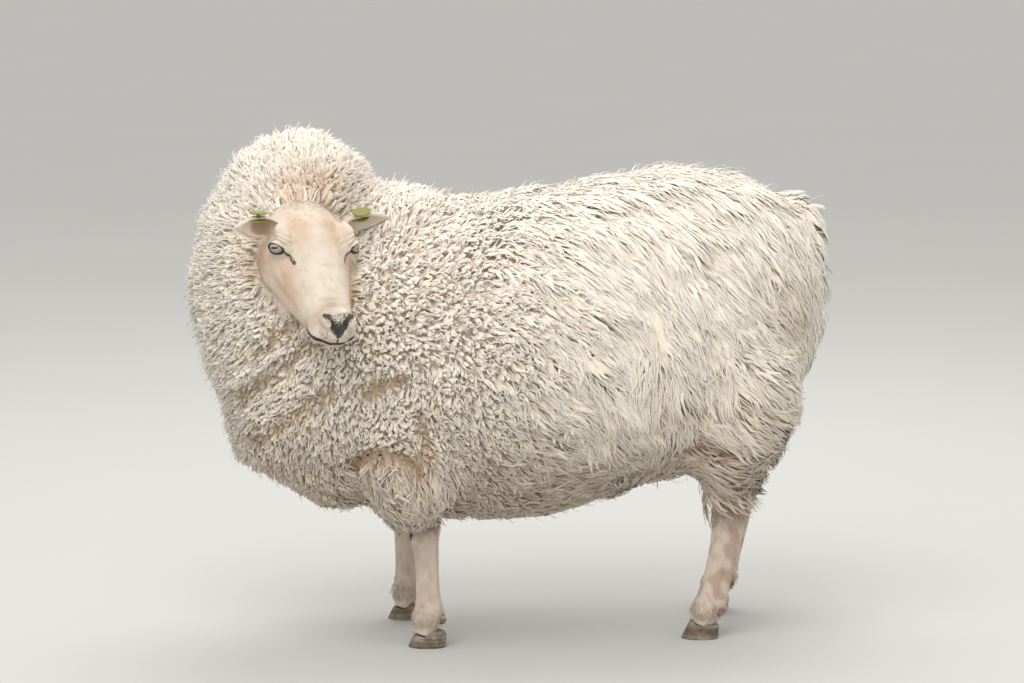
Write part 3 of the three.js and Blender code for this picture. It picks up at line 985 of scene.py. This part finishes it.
class Ground:
    """The skin as the coat grows from it."""

    def __init__(self):
        mesh = bpy.data.objects["skin"].data
        mesh.calc_loop_triangles()
        corners = read(mesh.loop_triangles, "vertices", 3, np.int32)
        loops = read(mesh.loop_triangles, "loops", 3, np.int32)
        self.co = corners_of(mesh)[corners]
        self.normals = normals_of(mesh)[corners]
        self.uv = read(mesh.uv_layers["OFBake"].data, "uv", 2).astype(float)[loops]
        cross = np.cross(self.co[:, 1] - self.co[:, 0], self.co[:, 2] - self.co[:, 0])
        self.area = np.linalg.norm(cross, axis=1) / 2
        self.middle = self.co.mean(1)
        hair = read(mesh.attributes["hair"].data, "value", 1)[:, 0]
        self.hair = hair[corners].mean(1).astype(float)

    def roots(self, density, count, rng):
        """Places, normals and map places, spread by a density over the skin."""
        weight = np.cumsum(self.area * density(self.middle, self.hair))
        picks = (np.arange(count) + rng.random(count)) / count * weight[-1]
        face = np.minimum(np.searchsorted(weight, picks), len(weight) - 1)
        a, b = rng.random((2, count))
        turned = a + b > 1
        a, b = np.where(turned, 1 - a, a), np.where(turned, 1 - b, b)
        share = np.stack([1 - a - b, a, b], 1)[:, :, None]
        place = (self.co[face] * share).sum(1)
        normal = unit((self.normals[face] * share).sum(1))
        return place, normal, (self.uv[face] * share).sum(1)


def tangent(direction, normal):
    return unit(direction - normal * (direction * normal).sum(1)[:, None])


# Where the wool hangs steeper (+) or flatter (-): name, degrees, centre and radii.
STEEPER_PATCHES = [
    ("left thigh", -14, (0.40, MIDLINE - 0.2, 0.42), (0.1, 0.2, 0.1)),
    ("head of the tail", 40, (0.47, MIDLINE, 0.74), (0.09, 0.14, 0.09)),
]


def lie_of_wool(points, normal):
    """The way that the fleece lies: down and backwards, and outwards from the face in the ruff."""
    x = points[:, 0]
    slope = 44 + 30 * ridge(x - 0.21, 0.09) + 38 * step(-x, 0.05, 0.22)
    slope += patches(points, STEEPER_PATCHES) + 16 * wavy(points, 0.10, 11)
    slope = np.radians(slope * (1 - 0.6 * np.maximum(normal[:, 2], 0)))
    outward = np.clip((points[:, 1] - MIDLINE) / 0.09, -1, 1) * np.abs(normal[:, 2])
    direction = np.stack([np.cos(slope), 1.1 * outward, -np.sin(slope)], 1)
    spread = points - from_head([0.0, 0.05, -0.06])
    near = step(-np.linalg.norm(spread, axis=1), -0.34, -0.18)[:, None]
    direction = direction * (1 - near) + unit(spread) * near
    return tangent(direction, normal)


def turned_about(direction, normal, angle):
    return direction * np.cos(angle)[:, None] + np.cross(normal, direction) * np.sin(angle)[:, None]


# Folds where the fleece parts: both ends as x and z, half breadth and depth, in metres.
FOLDS = [
    ((-0.253, 0.436), (-0.227, 0.452), 0.0105, 0.0260),
    ((-0.231, 0.450), (-0.197, 0.459), 0.0090, 0.0260),
    ((-0.276, 0.318), (-0.241, 0.338), 0.0105, 0.0208),
    ((-0.246, 0.335), (-0.206, 0.336), 0.0105, 0.0221),
    ((-0.206, 0.336), (-0.169, 0.310), 0.0105, 0.0195),
    ((-0.411, 0.500), (-0.321, 0.590), 0.0120, 0.0130),
    ((-0.441, 0.420), (-0.331, 0.520), 0.0120, 0.0117),
    ((-0.421, 0.350), (-0.311, 0.440), 0.0120, 0.0117),
    ((-0.171, 0.400), (-0.163, 0.330), 0.0090, 0.0130),
    ((0.234, 0.425), (0.309, 0.410), 0.0120, 0.0182),
    ((0.309, 0.412), (0.361, 0.428), 0.0120, 0.0182),
    ((0.374, 0.455), (0.421, 0.475), 0.0105, 0.0195),
    ((0.259, 0.350), (0.339, 0.330), 0.0135, 0.0156),
]


# What each metre of a fold's depth, or of the ridge's height, does to the wool there: it thins the wool,
# paints shade into the folds and paints a highlight onto the ridge.
FOLD_THINNING = 30
FOLD_SHADE_TINT = 40
FOLD_SHADE = 34
RIDGE_LIGHT = 20
DEEP_FOLD = 0.020


def fold_depth(points):
    """How much the folds lower the wool, in metres. Both of her sides have them."""
    total = np.zeros(len(points))
    for start, end, half_breadth, depth in FOLDS:
        away, _ = from_segment(points[:, [0, 2]], start, end)
        total = np.maximum(total, depth * ridge(away, half_breadth))
    return total


def ridge_height(points):
    """The matted ridge of wool that hangs from the throat, on her left side."""
    away, _ = from_segment(points[:, [0, 2]], [-0.385, 0.505], [-0.447, 0.450])
    return 0.013 * ridge(away, 0.011) * (points[:, 1] < MIDLINE)


def lumps(points):
    """How much the fleece swells above its mean, in metres."""
    swell = 0.0035 * wavy(points, 0.075, 3) + 0.0025 * wavy(points, 0.035, 4)
    return swell - fold_depth(points) + ridge_height(points)


# The shares of its length that a lock may be cut to, where a solid is in its way.
LOCK_SHARES = (1.0, 0.75, 0.5, 0.3)


class Locks:
    """Many locks: where they grow, and the line that each follows."""

    def __init__(self, place, normal, uv, direction, rng):
        self.place, self.normal, self.uv, self.direction = place, normal, uv, direction
        self.rng = rng
        self.count = len(place)
        self.tone = rng.random(self.count)

    def clumped(self, spacing):
        """Each lock's clump by number, and the lock that leads each clump: one to a cell."""
        cells = {}
        for i in self.rng.permutation(self.count):
            cells.setdefault(tuple(np.floor(self.place[i] / spacing).astype(int)), i)
        leaders = np.array(list(cells.values()))
        tree = KDTree(len(leaders))
        for number, place in enumerate(self.place[leaders]):
            tree.insert(place, number)
        tree.balance()
        owner = np.array([tree.find(p)[1] for p in self.place])
        return owner, leaders

    def line(self, rings, height, length, power, sink):
        """A line that rises from the skin, the sooner by its power, and then lies along it."""
        t = np.linspace(0, 1, rings + 1)[None, :]
        rise = height[:, None] * (1 - (1 - t) ** power)
        along = length[:, None] * t**1.25
        rise = rise - sink * along * along
        self.t = t
        self.side = np.cross(self.normal, self.direction)
        self.path = self.place[:, None]
        self.move((self.normal, rise), (self.direction, along))

    def move(self, *moves):
        """Moves each line's points, by pairs of a direction and a distance for each point."""
        for direction, distance in moves:
            self.path = self.path + direction[:, None] * distance[:, :, None]

    def wind(self, radius, turns, phase, start=0.3):
        """Winds each line into a corkscrew towards its tip."""
        grown = step(self.t, start, min(start + 0.45, 1.0)) * radius[:, None]
        angle = phase[:, None] + 2 * math.pi * turns[:, None] * self.t
        leaning = unit(self.normal * 0.8 + self.direction * 0.6)
        self.move((self.side, grown * np.cos(angle)), (leaning, grown * np.sin(angle)))

    def wave(self, reach, waves, phase):
        """Waves each line from side to side, and a little up and down."""
        angle = phase[:, None] + 2 * math.pi * waves[:, None] * self.t
        grown = reach[:, None] * step(self.t, 0.05, 0.5)
        up_and_down = 0.35 * grown * np.cos(1.3 * angle)
        self.move((self.side, grown * np.sin(angle)), (self.normal, up_and_down))

    def gather(self, owner, leaders, amount):
        """Draws each line towards its clump's, more and more towards the tip."""
        lead = self.path[leaders][owner]
        pull = amount * step(self.t, 0.1, 0.9)[:, :, None]
        self.path = self.path * (1 - pull) + lead * pull

    def keep(self, chosen):
        for key in ("place", "normal", "uv", "direction", "tone", "path", "side"):
            setattr(self, key, getattr(self, key)[chosen])
        self.count = len(self.place)

    def clear_of(self, tree, near, slack):
        """Shortens the locks whose lines pass into a solid, and drops those with no room."""
        chosen = np.ones(self.count, bool)
        for i in np.flatnonzero(near):
            root, line = self.place[i], self.path[i] - self.place[i]
            fitting = (s for s in LOCK_SHARES if is_clear(tree, root + line[1:] * s, slack))
            share = next(fitting, 0)
            chosen[i] = share > 0
            self.path[i] = root + line * share
        self.keep(chosen)
        return chosen


def is_clear(tree, points, slack):
    """Whether all the points lie outside a closed solid."""
    for point in points:
        hit, normal, _, _ = tree.find_nearest(Vector(point), 0.03)
        if hit is not None and (Vector(point) - hit).dot(normal) < slack:
            return False
    return True


def profile(t, root, tip):
    """Thickness along a lock, from its root by its middle to its tip."""
    return (root + (1 - root) * step(t, 0.0, 0.5)) * (1 - (1 - tip) * step(t, 0.6, 1.0))


def lock_meshes(name, locks, width, flat, material, root, tip):
    """Joined meshes of closed, tapered tubes, each piece under the limit."""
    rings = locks.path.shape[1] - 1
    per_lock = 2 * (rings - 1) * TUBE_SIDES + TUBE_SIDES + (TUBE_SIDES - 2)
    pieces = split(locks.place, TRIANGLES_A_PIECE // per_lock)
    for number, chosen in enumerate(pieces, 1):
        label = f"{name}_{number}" if len(pieces) > 1 else name
        mesh = tube_mesh(locks, chosen, width[chosen], flat, root, tip)
        placed(label, mesh, [material])


def split(points, limit):
    """Groups of neighbouring points, none over the limit."""
    groups = [np.arange(len(points))]
    while max(len(g) for g in groups) > limit:
        big = max(groups, key=len)
        groups = [g for g in groups if g is not big]
        axis = np.argmax(np.ptp(points[big], axis=0))
        order = big[np.argsort(points[big][:, axis], kind="stable")]
        groups += [order[: len(order) // 2], order[len(order) // 2 :]]
    return groups


def tube_corners(path, normal, width, flat, root, tip):
    """The corners of each tube, ring by ring and then its tip, and the directions they face."""
    count, rings = path.shape[0], path.shape[1] - 1
    along = unit(np.gradient(path, axis=1))
    across = unit(np.cross(normal[:, None], along))
    above = np.cross(along, across)
    size = width[:, None] * profile(np.linspace(0, 1, rings + 1), root, tip)[None, :]
    size = size[:, :rings, None]
    angle = 2 * math.pi * (np.arange(TUBE_SIDES) + 0.5) / TUBE_SIDES
    ring = (
        across[:, :rings, None] * (size * np.cos(angle))[..., None]
        + above[:, :rings, None] * (flat * size * np.sin(angle))[..., None]
    )
    rows = (count, rings * TUBE_SIDES, 3)
    corners = np.concatenate([(path[:, :rings, None] + ring).reshape(rows), path[:, rings:]], 1)
    facing = np.concatenate([unit(ring).reshape(rows), along[:, rings:]], 1)
    return corners, facing


def tube_faces(rings):
    """One tube's faces as a row of corners, and where in the row each face starts."""
    k = np.arange(TUBE_SIDES)
    following = (k + 1) % TUBE_SIDES
    quads = np.concatenate([
        np.stack([low + k, low + following, low + TUBE_SIDES + following, low + TUBE_SIDES + k], 1)
        for low in range(0, (rings - 1) * TUBE_SIDES, TUBE_SIDES)
    ])
    last = (rings - 1) * TUBE_SIDES
    tips = np.stack([last + k, last + following, np.full(TUBE_SIDES, rings * TUBE_SIDES)], 1)
    base = k[::-1]
    row = np.concatenate([quads.ravel(), tips.ravel(), base])
    starts = np.concatenate([
        np.arange(len(quads)) * 4,
        len(quads) * 4 + np.arange(TUBE_SIDES) * 3,
        [len(quads) * 4 + TUBE_SIDES * 3],
    ])
    return row, starts


def tube_mesh(locks, chosen, width, flat, root, tip):
    """Closed tubes of the chosen locks, with each lock's own map, tone and markings."""
    path, normal = locks.path[chosen], locks.normal[chosen]
    count, rings = path.shape[0], path.shape[1] - 1
    corners, facing = tube_corners(path, normal, width, flat, root, tip)
    row, starts = tube_faces(rings)
    per_lock = corners.shape[1]
    number = np.arange(count)[:, None]
    loops = (row[None] + number * per_lock).ravel()
    loop_start = (starts[None] + number * len(row)).ravel()
    mesh = bpy.data.meshes.new("locks")
    mesh.vertices.add(count * per_lock)
    mesh.vertices.foreach_set("co", corners.astype(np.float32).ravel())
    mesh.loops.add(len(loops))
    mesh.loops.foreach_set("vertex_index", loops.astype(np.int32))
    mesh.polygons.add(len(loop_start))
    mesh.polygons.foreach_set("loop_start", loop_start.astype(np.int32))
    mesh.update(calc_edges=True)
    shade_smooth(mesh)
    soft = (BODY_SHADING * (1 - 0.5 * step(-normal[:, 2], 0.1, 0.7)))[:, None, None]
    shading = unit(facing * (1 - soft) + normal[:, None] * soft).reshape(-1, 3)
    mesh.normals_split_custom_set_from_vertices(shading.tolist())
    u = np.append(np.tile(np.arange(TUBE_SIDES) / TUBE_SIDES, rings), 0.5)
    v = np.append(np.repeat(np.linspace(0, 1, rings + 1)[:rings], TUBE_SIDES), 1.0)
    offset = locks.rng.random(count) * 40
    lock = [(u[None] + offset[:, None]).ravel(), np.tile(v, count), np.repeat(offset, per_lock)]
    write_attribute(mesh, "lock", "FLOAT_VECTOR", np.stack(lock, 1))
    write_attribute(mesh, "tone", "FLOAT", np.repeat(locks.tone[chosen], per_lock))
    marks = markings(locks.place[chosen])
    write_attribute(mesh, "marks", "FLOAT_COLOR", np.repeat(marks, per_lock, 0))
    patch = np.stack([u - 0.5, v - 0.5], 1) * LOCK_MAP_SIZE
    uv = (locks.uv[chosen][:, None] + patch[None])[:, row].reshape(-1, 2)
    mesh.uv_layers.new(name="OFBake").data.foreach_set("uv", uv.astype(np.float32).ravel())
    return mesh


HEM_HEIGHTS = {"fore": 0.222, "hind": 0.232}
HEM_REACH = 0.075
HEAD_REACH = 0.26
HEAD_CLEARANCE = 0.0015


def near_the_head(points):
    return np.linalg.norm(to_head(points) - FACE_MIDDLE, axis=1) < HEAD_REACH


def wool_hem(points):
    """Height over the floor under which no wool grows: on the legs only."""
    hem = np.zeros(len(points))
    for kind, hand in FEET:
        low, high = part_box(f"{kind}leg_lower_{hand}")
        away = np.hypot(points[:, 0] - (low.x + high.x) / 2, points[:, 1] - (low.y + high.y) / 2)
        hem[away < HEM_REACH] = HEM_HEIGHTS[kind]
    return hem


def hind_share(points):
    """From 0 on the fore half to 1 on the hind half, past an uneven border."""
    return step(points[:, 0] + 0.03 * wavy(points, 0.12, 9), -0.10, 0.14)


def fore_share(points):
    return 1.02 - hind_share(points)


def woolled(share):
    """A density of wool: over the share of the body that a function gives, and less in the folds."""

    def density(points, hair):
        thinned = 1 - np.minimum(FOLD_THINNING * fold_depth(points), 0.6)
        return (hair < 0.3) * share(points) * (points[:, 2] > wool_hem(points)) * thinned

    return density


class FleeceMaker:
    """Grows one kind of lock over its share of the fleece."""

    def locks(self, context, seed, count, share, turn, spacing):
        self.depth = context.scene.ewe_fleece.depth
        self.rng = np.random.default_rng(SEED + seed)
        place, normal, uv = Ground().roots(woolled(share), count, self.rng)
        turns = self.rng.normal(0, turn, len(place))
        direction = turned_about(lie_of_wool(place, normal), normal, turns)
        self.grown = Locks(place, normal, uv, direction, self.rng)
        self.owner, self.leaders = self.grown.clumped(spacing)
        return self.grown

    def clump_random(self, low, high):
        """A random number for each clump, given to each of its locks."""
        return self.rng.uniform(low, high, len(self.leaders))[self.owner]

    def skirt(self):
        """1 on the low wool round the tops of the fore legs, which hangs as a skirt."""
        x, _, z = self.grown.place.T
        return step(-z, -0.325, -0.305) * (x < -0.1) * (x > -0.30)

    def rise(self, low, high):
        """Height of each tip over the skin, less towards the hem."""
        place = self.grown.place
        taper = 0.7 + 0.3 * step(place[:, 2] - wool_hem(place), 0.0, 0.08)
        rise = self.depth * self.rng.uniform(low, high, self.grown.count) + lumps(place)
        return np.maximum(rise * taper, 0.003)

    def beside_folds(self, length):
        """Shortens the locks that would lie over a fold."""
        tips = self.grown.place + self.grown.direction * length[:, None]
        hidden = np.maximum(fold_depth(self.grown.place), fold_depth(tips)) / DEEP_FOLD
        return length * (1 - 0.65 * np.minimum(hidden, 1))

    def tones(self, low, high):
        """Paler and darker locks at random, with painted shade in the folds and a painted highlight on the
        ridge.
        """
        place = self.grown.place
        own = self.rng.uniform(low, high, self.grown.count) + self.clump_random(-0.15, 0.15)
        tone = own - FOLD_SHADE * fold_depth(place) + RIDGE_LIGHT * ridge_height(place)
        self.grown.tone = np.clip(tone, 0, 1)

    def finish(self, name, width, flat, material, root, tip):
        """Keeps the locks clear of the head, and makes them a mesh."""
        others = [f"{part}_{hand}" for part in ("eye", "ear_tag") for hand in SIDES]
        near = near_the_head(self.grown.place)
        chosen = self.grown.clear_of(node_tree(HEAD_NODES + others), near, HEAD_CLEARANCE)
        lock_meshes(name, self.grown, width[chosen], flat, material, root, tip)


class EWE_OT_fore_fleece(bpy.types.Operator, FleeceMaker):
    """Short crimped locks of the neck, chest, shoulders and fore flank"""

    bl_idname = "ewe.fore_fleece"
    bl_label = "Fore fleece"

    def execute(self, context):
        s = context.scene.ewe_fleece
        material = make_wool_material(Palette(), "crimped_wool", 7.0)
        # Name, seed, number, range of height over depth, of half breadth, root's width and tones.
        kinds = [
            ("fore_fleece_staples", 1, s.staples, (0.74, 0.90), (0.0029, 0.0042), 1.5, (0.3, 0.8)),
            ("fore_fleece_curls", 2, s.curls, (0.84, 1.04), (0.0009, 0.0016), 1.7, (0.5, 1.0)),
        ]
        for name, seed, count, rise, breadth, root, tone in kinds:
            locks = self.locks(context, seed, count, fore_share, 0.6, 0.019)
            n, rng, skirt = locks.count, self.rng, self.skirt()
            middle = hind_share(locks.place)
            length = s.curl_length * (0.30 + 0.9 * middle + 0.8 * skirt) * rng.uniform(0.75, 1.2, n)
            locks.line(4, self.rise(*rise), self.beside_folds(length), 1.7, 1.5)
            radius = s.curl_radius * rng.uniform(0.7, 1.3, n) * (1 - 0.5 * skirt)
            phase = self.clump_random(0, 2 * math.pi) + rng.normal(0, 1.0, n)
            locks.wind(radius, rng.uniform(0.7, 1.3, n), phase)
            locks.gather(self.owner, self.leaders, 0.35)
            self.tones(*tone)
            self.finish(name, rng.uniform(*breadth, n), 0.9, material, root, 0.5)
        return {"FINISHED"}


class EWE_OT_hind_fleece(bpy.types.Operator, FleeceMaker):
    """Long wavy locks of the back, flanks, rump, thighs and tail"""

    bl_idname = "ewe.hind_fleece"
    bl_label = "Hind fleece"

    def execute(self, context):
        s = context.scene.ewe_fleece
        material = make_wool_material(Palette(), "wavy_wool", 9.0)
        # Name, seed, number, rings, range of height over depth, of half breadth, flatness and tones.
        kinds = [
            ("hind_fleece_locks", 3, s.locks, 5, (0.72, 0.88), (0.0032, 0.0050), 0.5, (0.35, 0.75)),
            ("hind_fleece_strands", 4, s.strands, 6, (0.82, 1.02), (0.0008, 0.0014), 0.9, (0.5, 1.0)),
        ]
        for name, seed, count, rings, rise, breadth, flat, tone in kinds:
            locks = self.locks(context, seed, count, hind_share, 0.17, 0.030)
            n, rng = locks.count, self.rng
            low = step(-locks.place[:, 2], -0.40, -0.25)
            length = s.lock_length * (0.45 + 0.55 * hind_share(locks.place)) * (1 - 0.35 * low)
            length = length * rng.uniform(0.7, 1.15, n)
            on_tail = blob(locks.place, [0.47, MIDLINE, 0.73], [0.06, 0.12, 0.09])
            length = self.beside_folds(length) * (1 - 0.6 * on_tail)
            locks.line(rings, self.rise(*rise), length, 3.2, 2.0)
            phase = self.clump_random(0, 2 * math.pi) + rng.normal(0, 0.4, n)
            reach = rng.uniform(0.0015, 0.0040, n)
            locks.wave(reach, length / self.clump_random(0.026, 0.042), phase)
            locks.gather(self.owner, self.leaders, 0.4)
            self.tones(*tone)
            self.finish(name, rng.uniform(*breadth, n), flat, material, 0.9, 0.2)
        return {"FINISHED"}


class EWE_OT_wisps(bpy.types.Operator, FleeceMaker):
    """Fine strands that stand off the fleece"""

    bl_idname = "ewe.wisps"
    bl_label = "Wisps"

    def execute(self, context):
        locks = self.locks(context, 5, context.scene.ewe_fleece.wisps, self.share, 0.7, 0.03)
        n, rng = locks.count, self.rng
        length = rng.uniform(0.015, 0.045, n) * (0.5 + hind_share(locks.place))
        locks.line(5, self.rise(0.95, 1.35), length, 2.2, 1.5)
        radius, turns = rng.uniform(0.002, 0.006, n), rng.uniform(0.5, 1.0, n)
        locks.wind(radius, turns, rng.uniform(0, 2 * math.pi, n), 0.15)
        self.tones(0.7, 1.0)
        material = bpy.data.materials["wavy_wool"]
        self.finish("wisps", rng.uniform(0.0004, 0.0008, n), 1.0, material, 1.0, 0.5)
        return {"FINISHED"}

    def share(self, points):
        """Most along the back and at the front of the ruff."""
        return 0.5 + 2.5 * step(points[:, 2], 0.66, 0.78) + 1.5 * step(-points[:, 0], 0.36, 0.46)


def lie_of_hair(points):
    """The way that short hair lies: up the face, out along the ears and down the legs."""
    q = to_head(points)
    ones, side = np.ones(len(q)), np.sign(q[:, 0])
    on_face = np.stack([0.5 * side, -0.9 * ones, -0.35 * ones], 1) @ HEAD
    on_ear = np.stack([side, 0.1 * ones, 0 * ones], 1) @ HEAD
    facing = np.where((np.abs(q[:, 0]) > 0.07)[:, None], on_ear, on_face)
    return np.where((points[:, 2] < 0.3)[:, None], np.array([0.25, 0, -1.0]), facing)


class EWE_OT_short_hair(bpy.types.Operator):
    """Short tufts of the face, ears and legs"""

    bl_idname = "ewe.short_hair"
    bl_label = "Short hair"

    def execute(self, context):
        s = context.scene.ewe_fleece
        rng = np.random.default_rng(SEED + 3)
        place, normal, uv = Ground().roots(self.density, s.hairs, rng)
        turns = rng.normal(0, 0.3, len(place))
        direction = turned_about(tangent(lie_of_hair(place), normal), normal, turns)
        locks = Locks(place, normal, uv, direction, rng)
        n = locks.count
        fringe = self.fringe(place)
        length = (0.0045 + 0.010 * fringe) * rng.uniform(0.7, 1.25, n)
        height = (0.0011 + 0.0022 * fringe) * rng.uniform(0.6, 1.4, n)
        locks.line(3, height, length, 2.0, 3.0)
        width = rng.uniform(0.0004, 0.0007, n) * (1 + 0.4 * fringe)
        material = make_short_hair_material(Palette())
        lock_meshes("short_hair", locks, width, 0.45, material, 0.8, 0.2)
        return {"FINISHED"}

    def fringe(self, points):
        """1 where the short hair stands out: poll, throat, fetlocks and the tops of the shanks."""
        q = to_head(points)
        height = points[:, 2]
        poll = blob(q, [0, -0.004, 0.0], [0.07, 0.03, 0.03])
        throat = blob(np.abs(q) * [1, 1, -1], [0.05, 0.05, -0.11], [0.05, 0.06, 0.04])
        fetlock = ridge(height - FETLOCK_HEIGHT - 0.002, 0.018)
        top = step(height, 0.17, 0.21) * (height < 0.3)
        return np.clip(poll + throat + 0.8 * fetlock + top, 0, 1)

    def density(self, points, hair):
        """Few tufts but at the fringes, and none on the eyes, the dark skin or the hooves."""
        free = (hair > 0.5) * (markings(points)[:, 2] < 0.35) * (points[:, 2] > 0.035)
        for side in (-1, 1):
            e = (points - EYES[side]) @ eye_axes(side).T
            off_lids = np.hypot(e[:, 0] / 0.0165, e[:, 1] / 0.0125) > 1.0
            free = free * (off_lids | (np.abs(e[:, 2]) > 0.03))
        return free * (0.02 + self.fringe(points))


# ---- Eyes, hooves and tags -------------------------------------------------------------


PUPIL_TILT = math.radians(18)


def rounded(node, voxel):
    """A node's own shape with its edges rounded."""
    mesh = remeshed(merged_copy([node]), voxel)
    reshape(mesh, smoothing(mesh)(corners_of(mesh), 0.5, 4))
    shade_smooth(mesh)
    return mesh


def level_pupil(side):
    """Turns an eyeball's pattern, so that the slit lies nearer level in the lowered head."""
    c, s = math.cos(PUPIL_TILT), math.sin(PUPIL_TILT) * side
    return np.array([[c, s, 0], [-s, c, 0], [0, 0, 1.0]])


class EWE_OT_eyes(bpy.types.Operator):
    """Both eyeballs, with their corneas"""

    bl_idname = "ewe.eyes"
    bl_label = "Eyes"

    def execute(self, context):
        material = make_eye_material(Palette())
        for side, hand in ((-1, "left"), (1, "right")):
            bm = bmesh.new()
            bmesh.ops.create_uvsphere(bm, u_segments=48, v_segments=32, radius=EYE_RADIUS)
            mesh = finished(bm, "eyeball")
            e = corners_of(mesh)
            cornea = np.exp(-((np.hypot(e[:, 0], e[:, 1]) / 0.0085) ** 4)) * (e[:, 2] > 0)
            e[:, 2] += 0.0012 * cornea
            gaze = e @ level_pupil(side).T
            gaze[:, :2] += np.where(e[:, 2:] < 0, 1.0, 0.0)
            write_attribute(mesh, "gaze", "FLOAT_VECTOR", gaze)
            reshape(mesh, e @ eye_axes(side) + EYES[side])
            if side < 0:
                mesh.flip_normals()
            shade_smooth(mesh)
            placed(f"eyeball_{hand}", mesh, [material], [f"eye_{hand}"])
        return {"FINISHED"}


class EWE_OT_hooves(bpy.types.Operator):
    """The claws and dewclaws, rounded and ringed"""

    bl_idname = "ewe.hooves"
    bl_label = "Hooves"

    def execute(self, context):
        material = make_horn_material(Palette())
        for kind, hand in FEET:
            for place in ("outer", "inner"):
                for part, voxel in (("hoof", 0.0016), ("dewclaw", 0.0012)):
                    node = f"{part}_{kind}_{hand}_{place}"
                    mesh = rounded(node, voxel)
                    if part == "hoof":
                        co = corners_of(mesh)
                        co[:, 2] = np.maximum(co[:, 2] - 0.0007, 0)
                        reshape(mesh, co)
                    placed(f"{node}_horn", mesh, [material], [node])
        return {"FINISHED"}


class EWE_OT_tags(bpy.types.Operator):
    """The two ear tags, with rounded edges"""

    bl_idname = "ewe.tags"
    bl_label = "Ear tags"

    def execute(self, context):
        material = make_tag_material(Palette())
        for hand in SIDES:
            node = f"ear_tag_{hand}"
            placed(f"{node}_plastic", rounded(node, 0.0007), [material], [node])
        return {"FINISHED"}


# ---- Panel and registration ------------------------------------------------------------

STEPS = [
    "ewe.stage",
    "ewe.skin",
    "ewe.eyes",
    "ewe.hooves",
    "ewe.tags",
    "ewe.fore_fleece",
    "ewe.hind_fleece",
    "ewe.wisps",
    "ewe.short_hair",
]


class EWE_PT_panel(bpy.types.Panel):
    """Everything that the ewe is made with"""

    bl_label = "Standing ewe"
    bl_idname = "EWE_PT_panel"
    bl_space_type = "VIEW_3D"
    bl_region_type = "UI"
    bl_category = "Ewe"

    def draw(self, context):
        for name in STEPS:
            self.layout.operator(name)
        for group in (context.scene.ewe_fleece, context.scene.ewe_colours):
            box = self.layout.box()
            for key in group.bl_rna.properties.keys():
                if key not in ("rna_type", "name"):
                    box.prop(group, key)


CLASSES = [
    EweFleeceSettings,
    EweColourSettings,
    EWE_OT_stage,
    EWE_OT_skin,
    EWE_OT_eyes,
    EWE_OT_hooves,
    EWE_OT_tags,
    EWE_OT_fore_fleece,
    EWE_OT_hind_fleece,
    EWE_OT_wisps,
    EWE_OT_short_hair,
    EWE_PT_panel,
]


def register():
    for cls in CLASSES:
        bpy.utils.register_class(cls)
    bpy.types.Scene.ewe_fleece = PointerProperty(type=EweFleeceSettings)
    bpy.types.Scene.ewe_colours = PointerProperty(type=EweColourSettings)


def unregister():
    del bpy.types.Scene.ewe_colours
    del bpy.types.Scene.ewe_fleece
    for cls in reversed(CLASSES):
        bpy.utils.unregister_class(cls)


def main():
    register()
    for name in STEPS:
        group, operator = name.split(".")
        getattr(getattr(bpy.ops, group), operator)()
    bpy.context.view_layer.update()


if __name__ == "__main__":
    main()
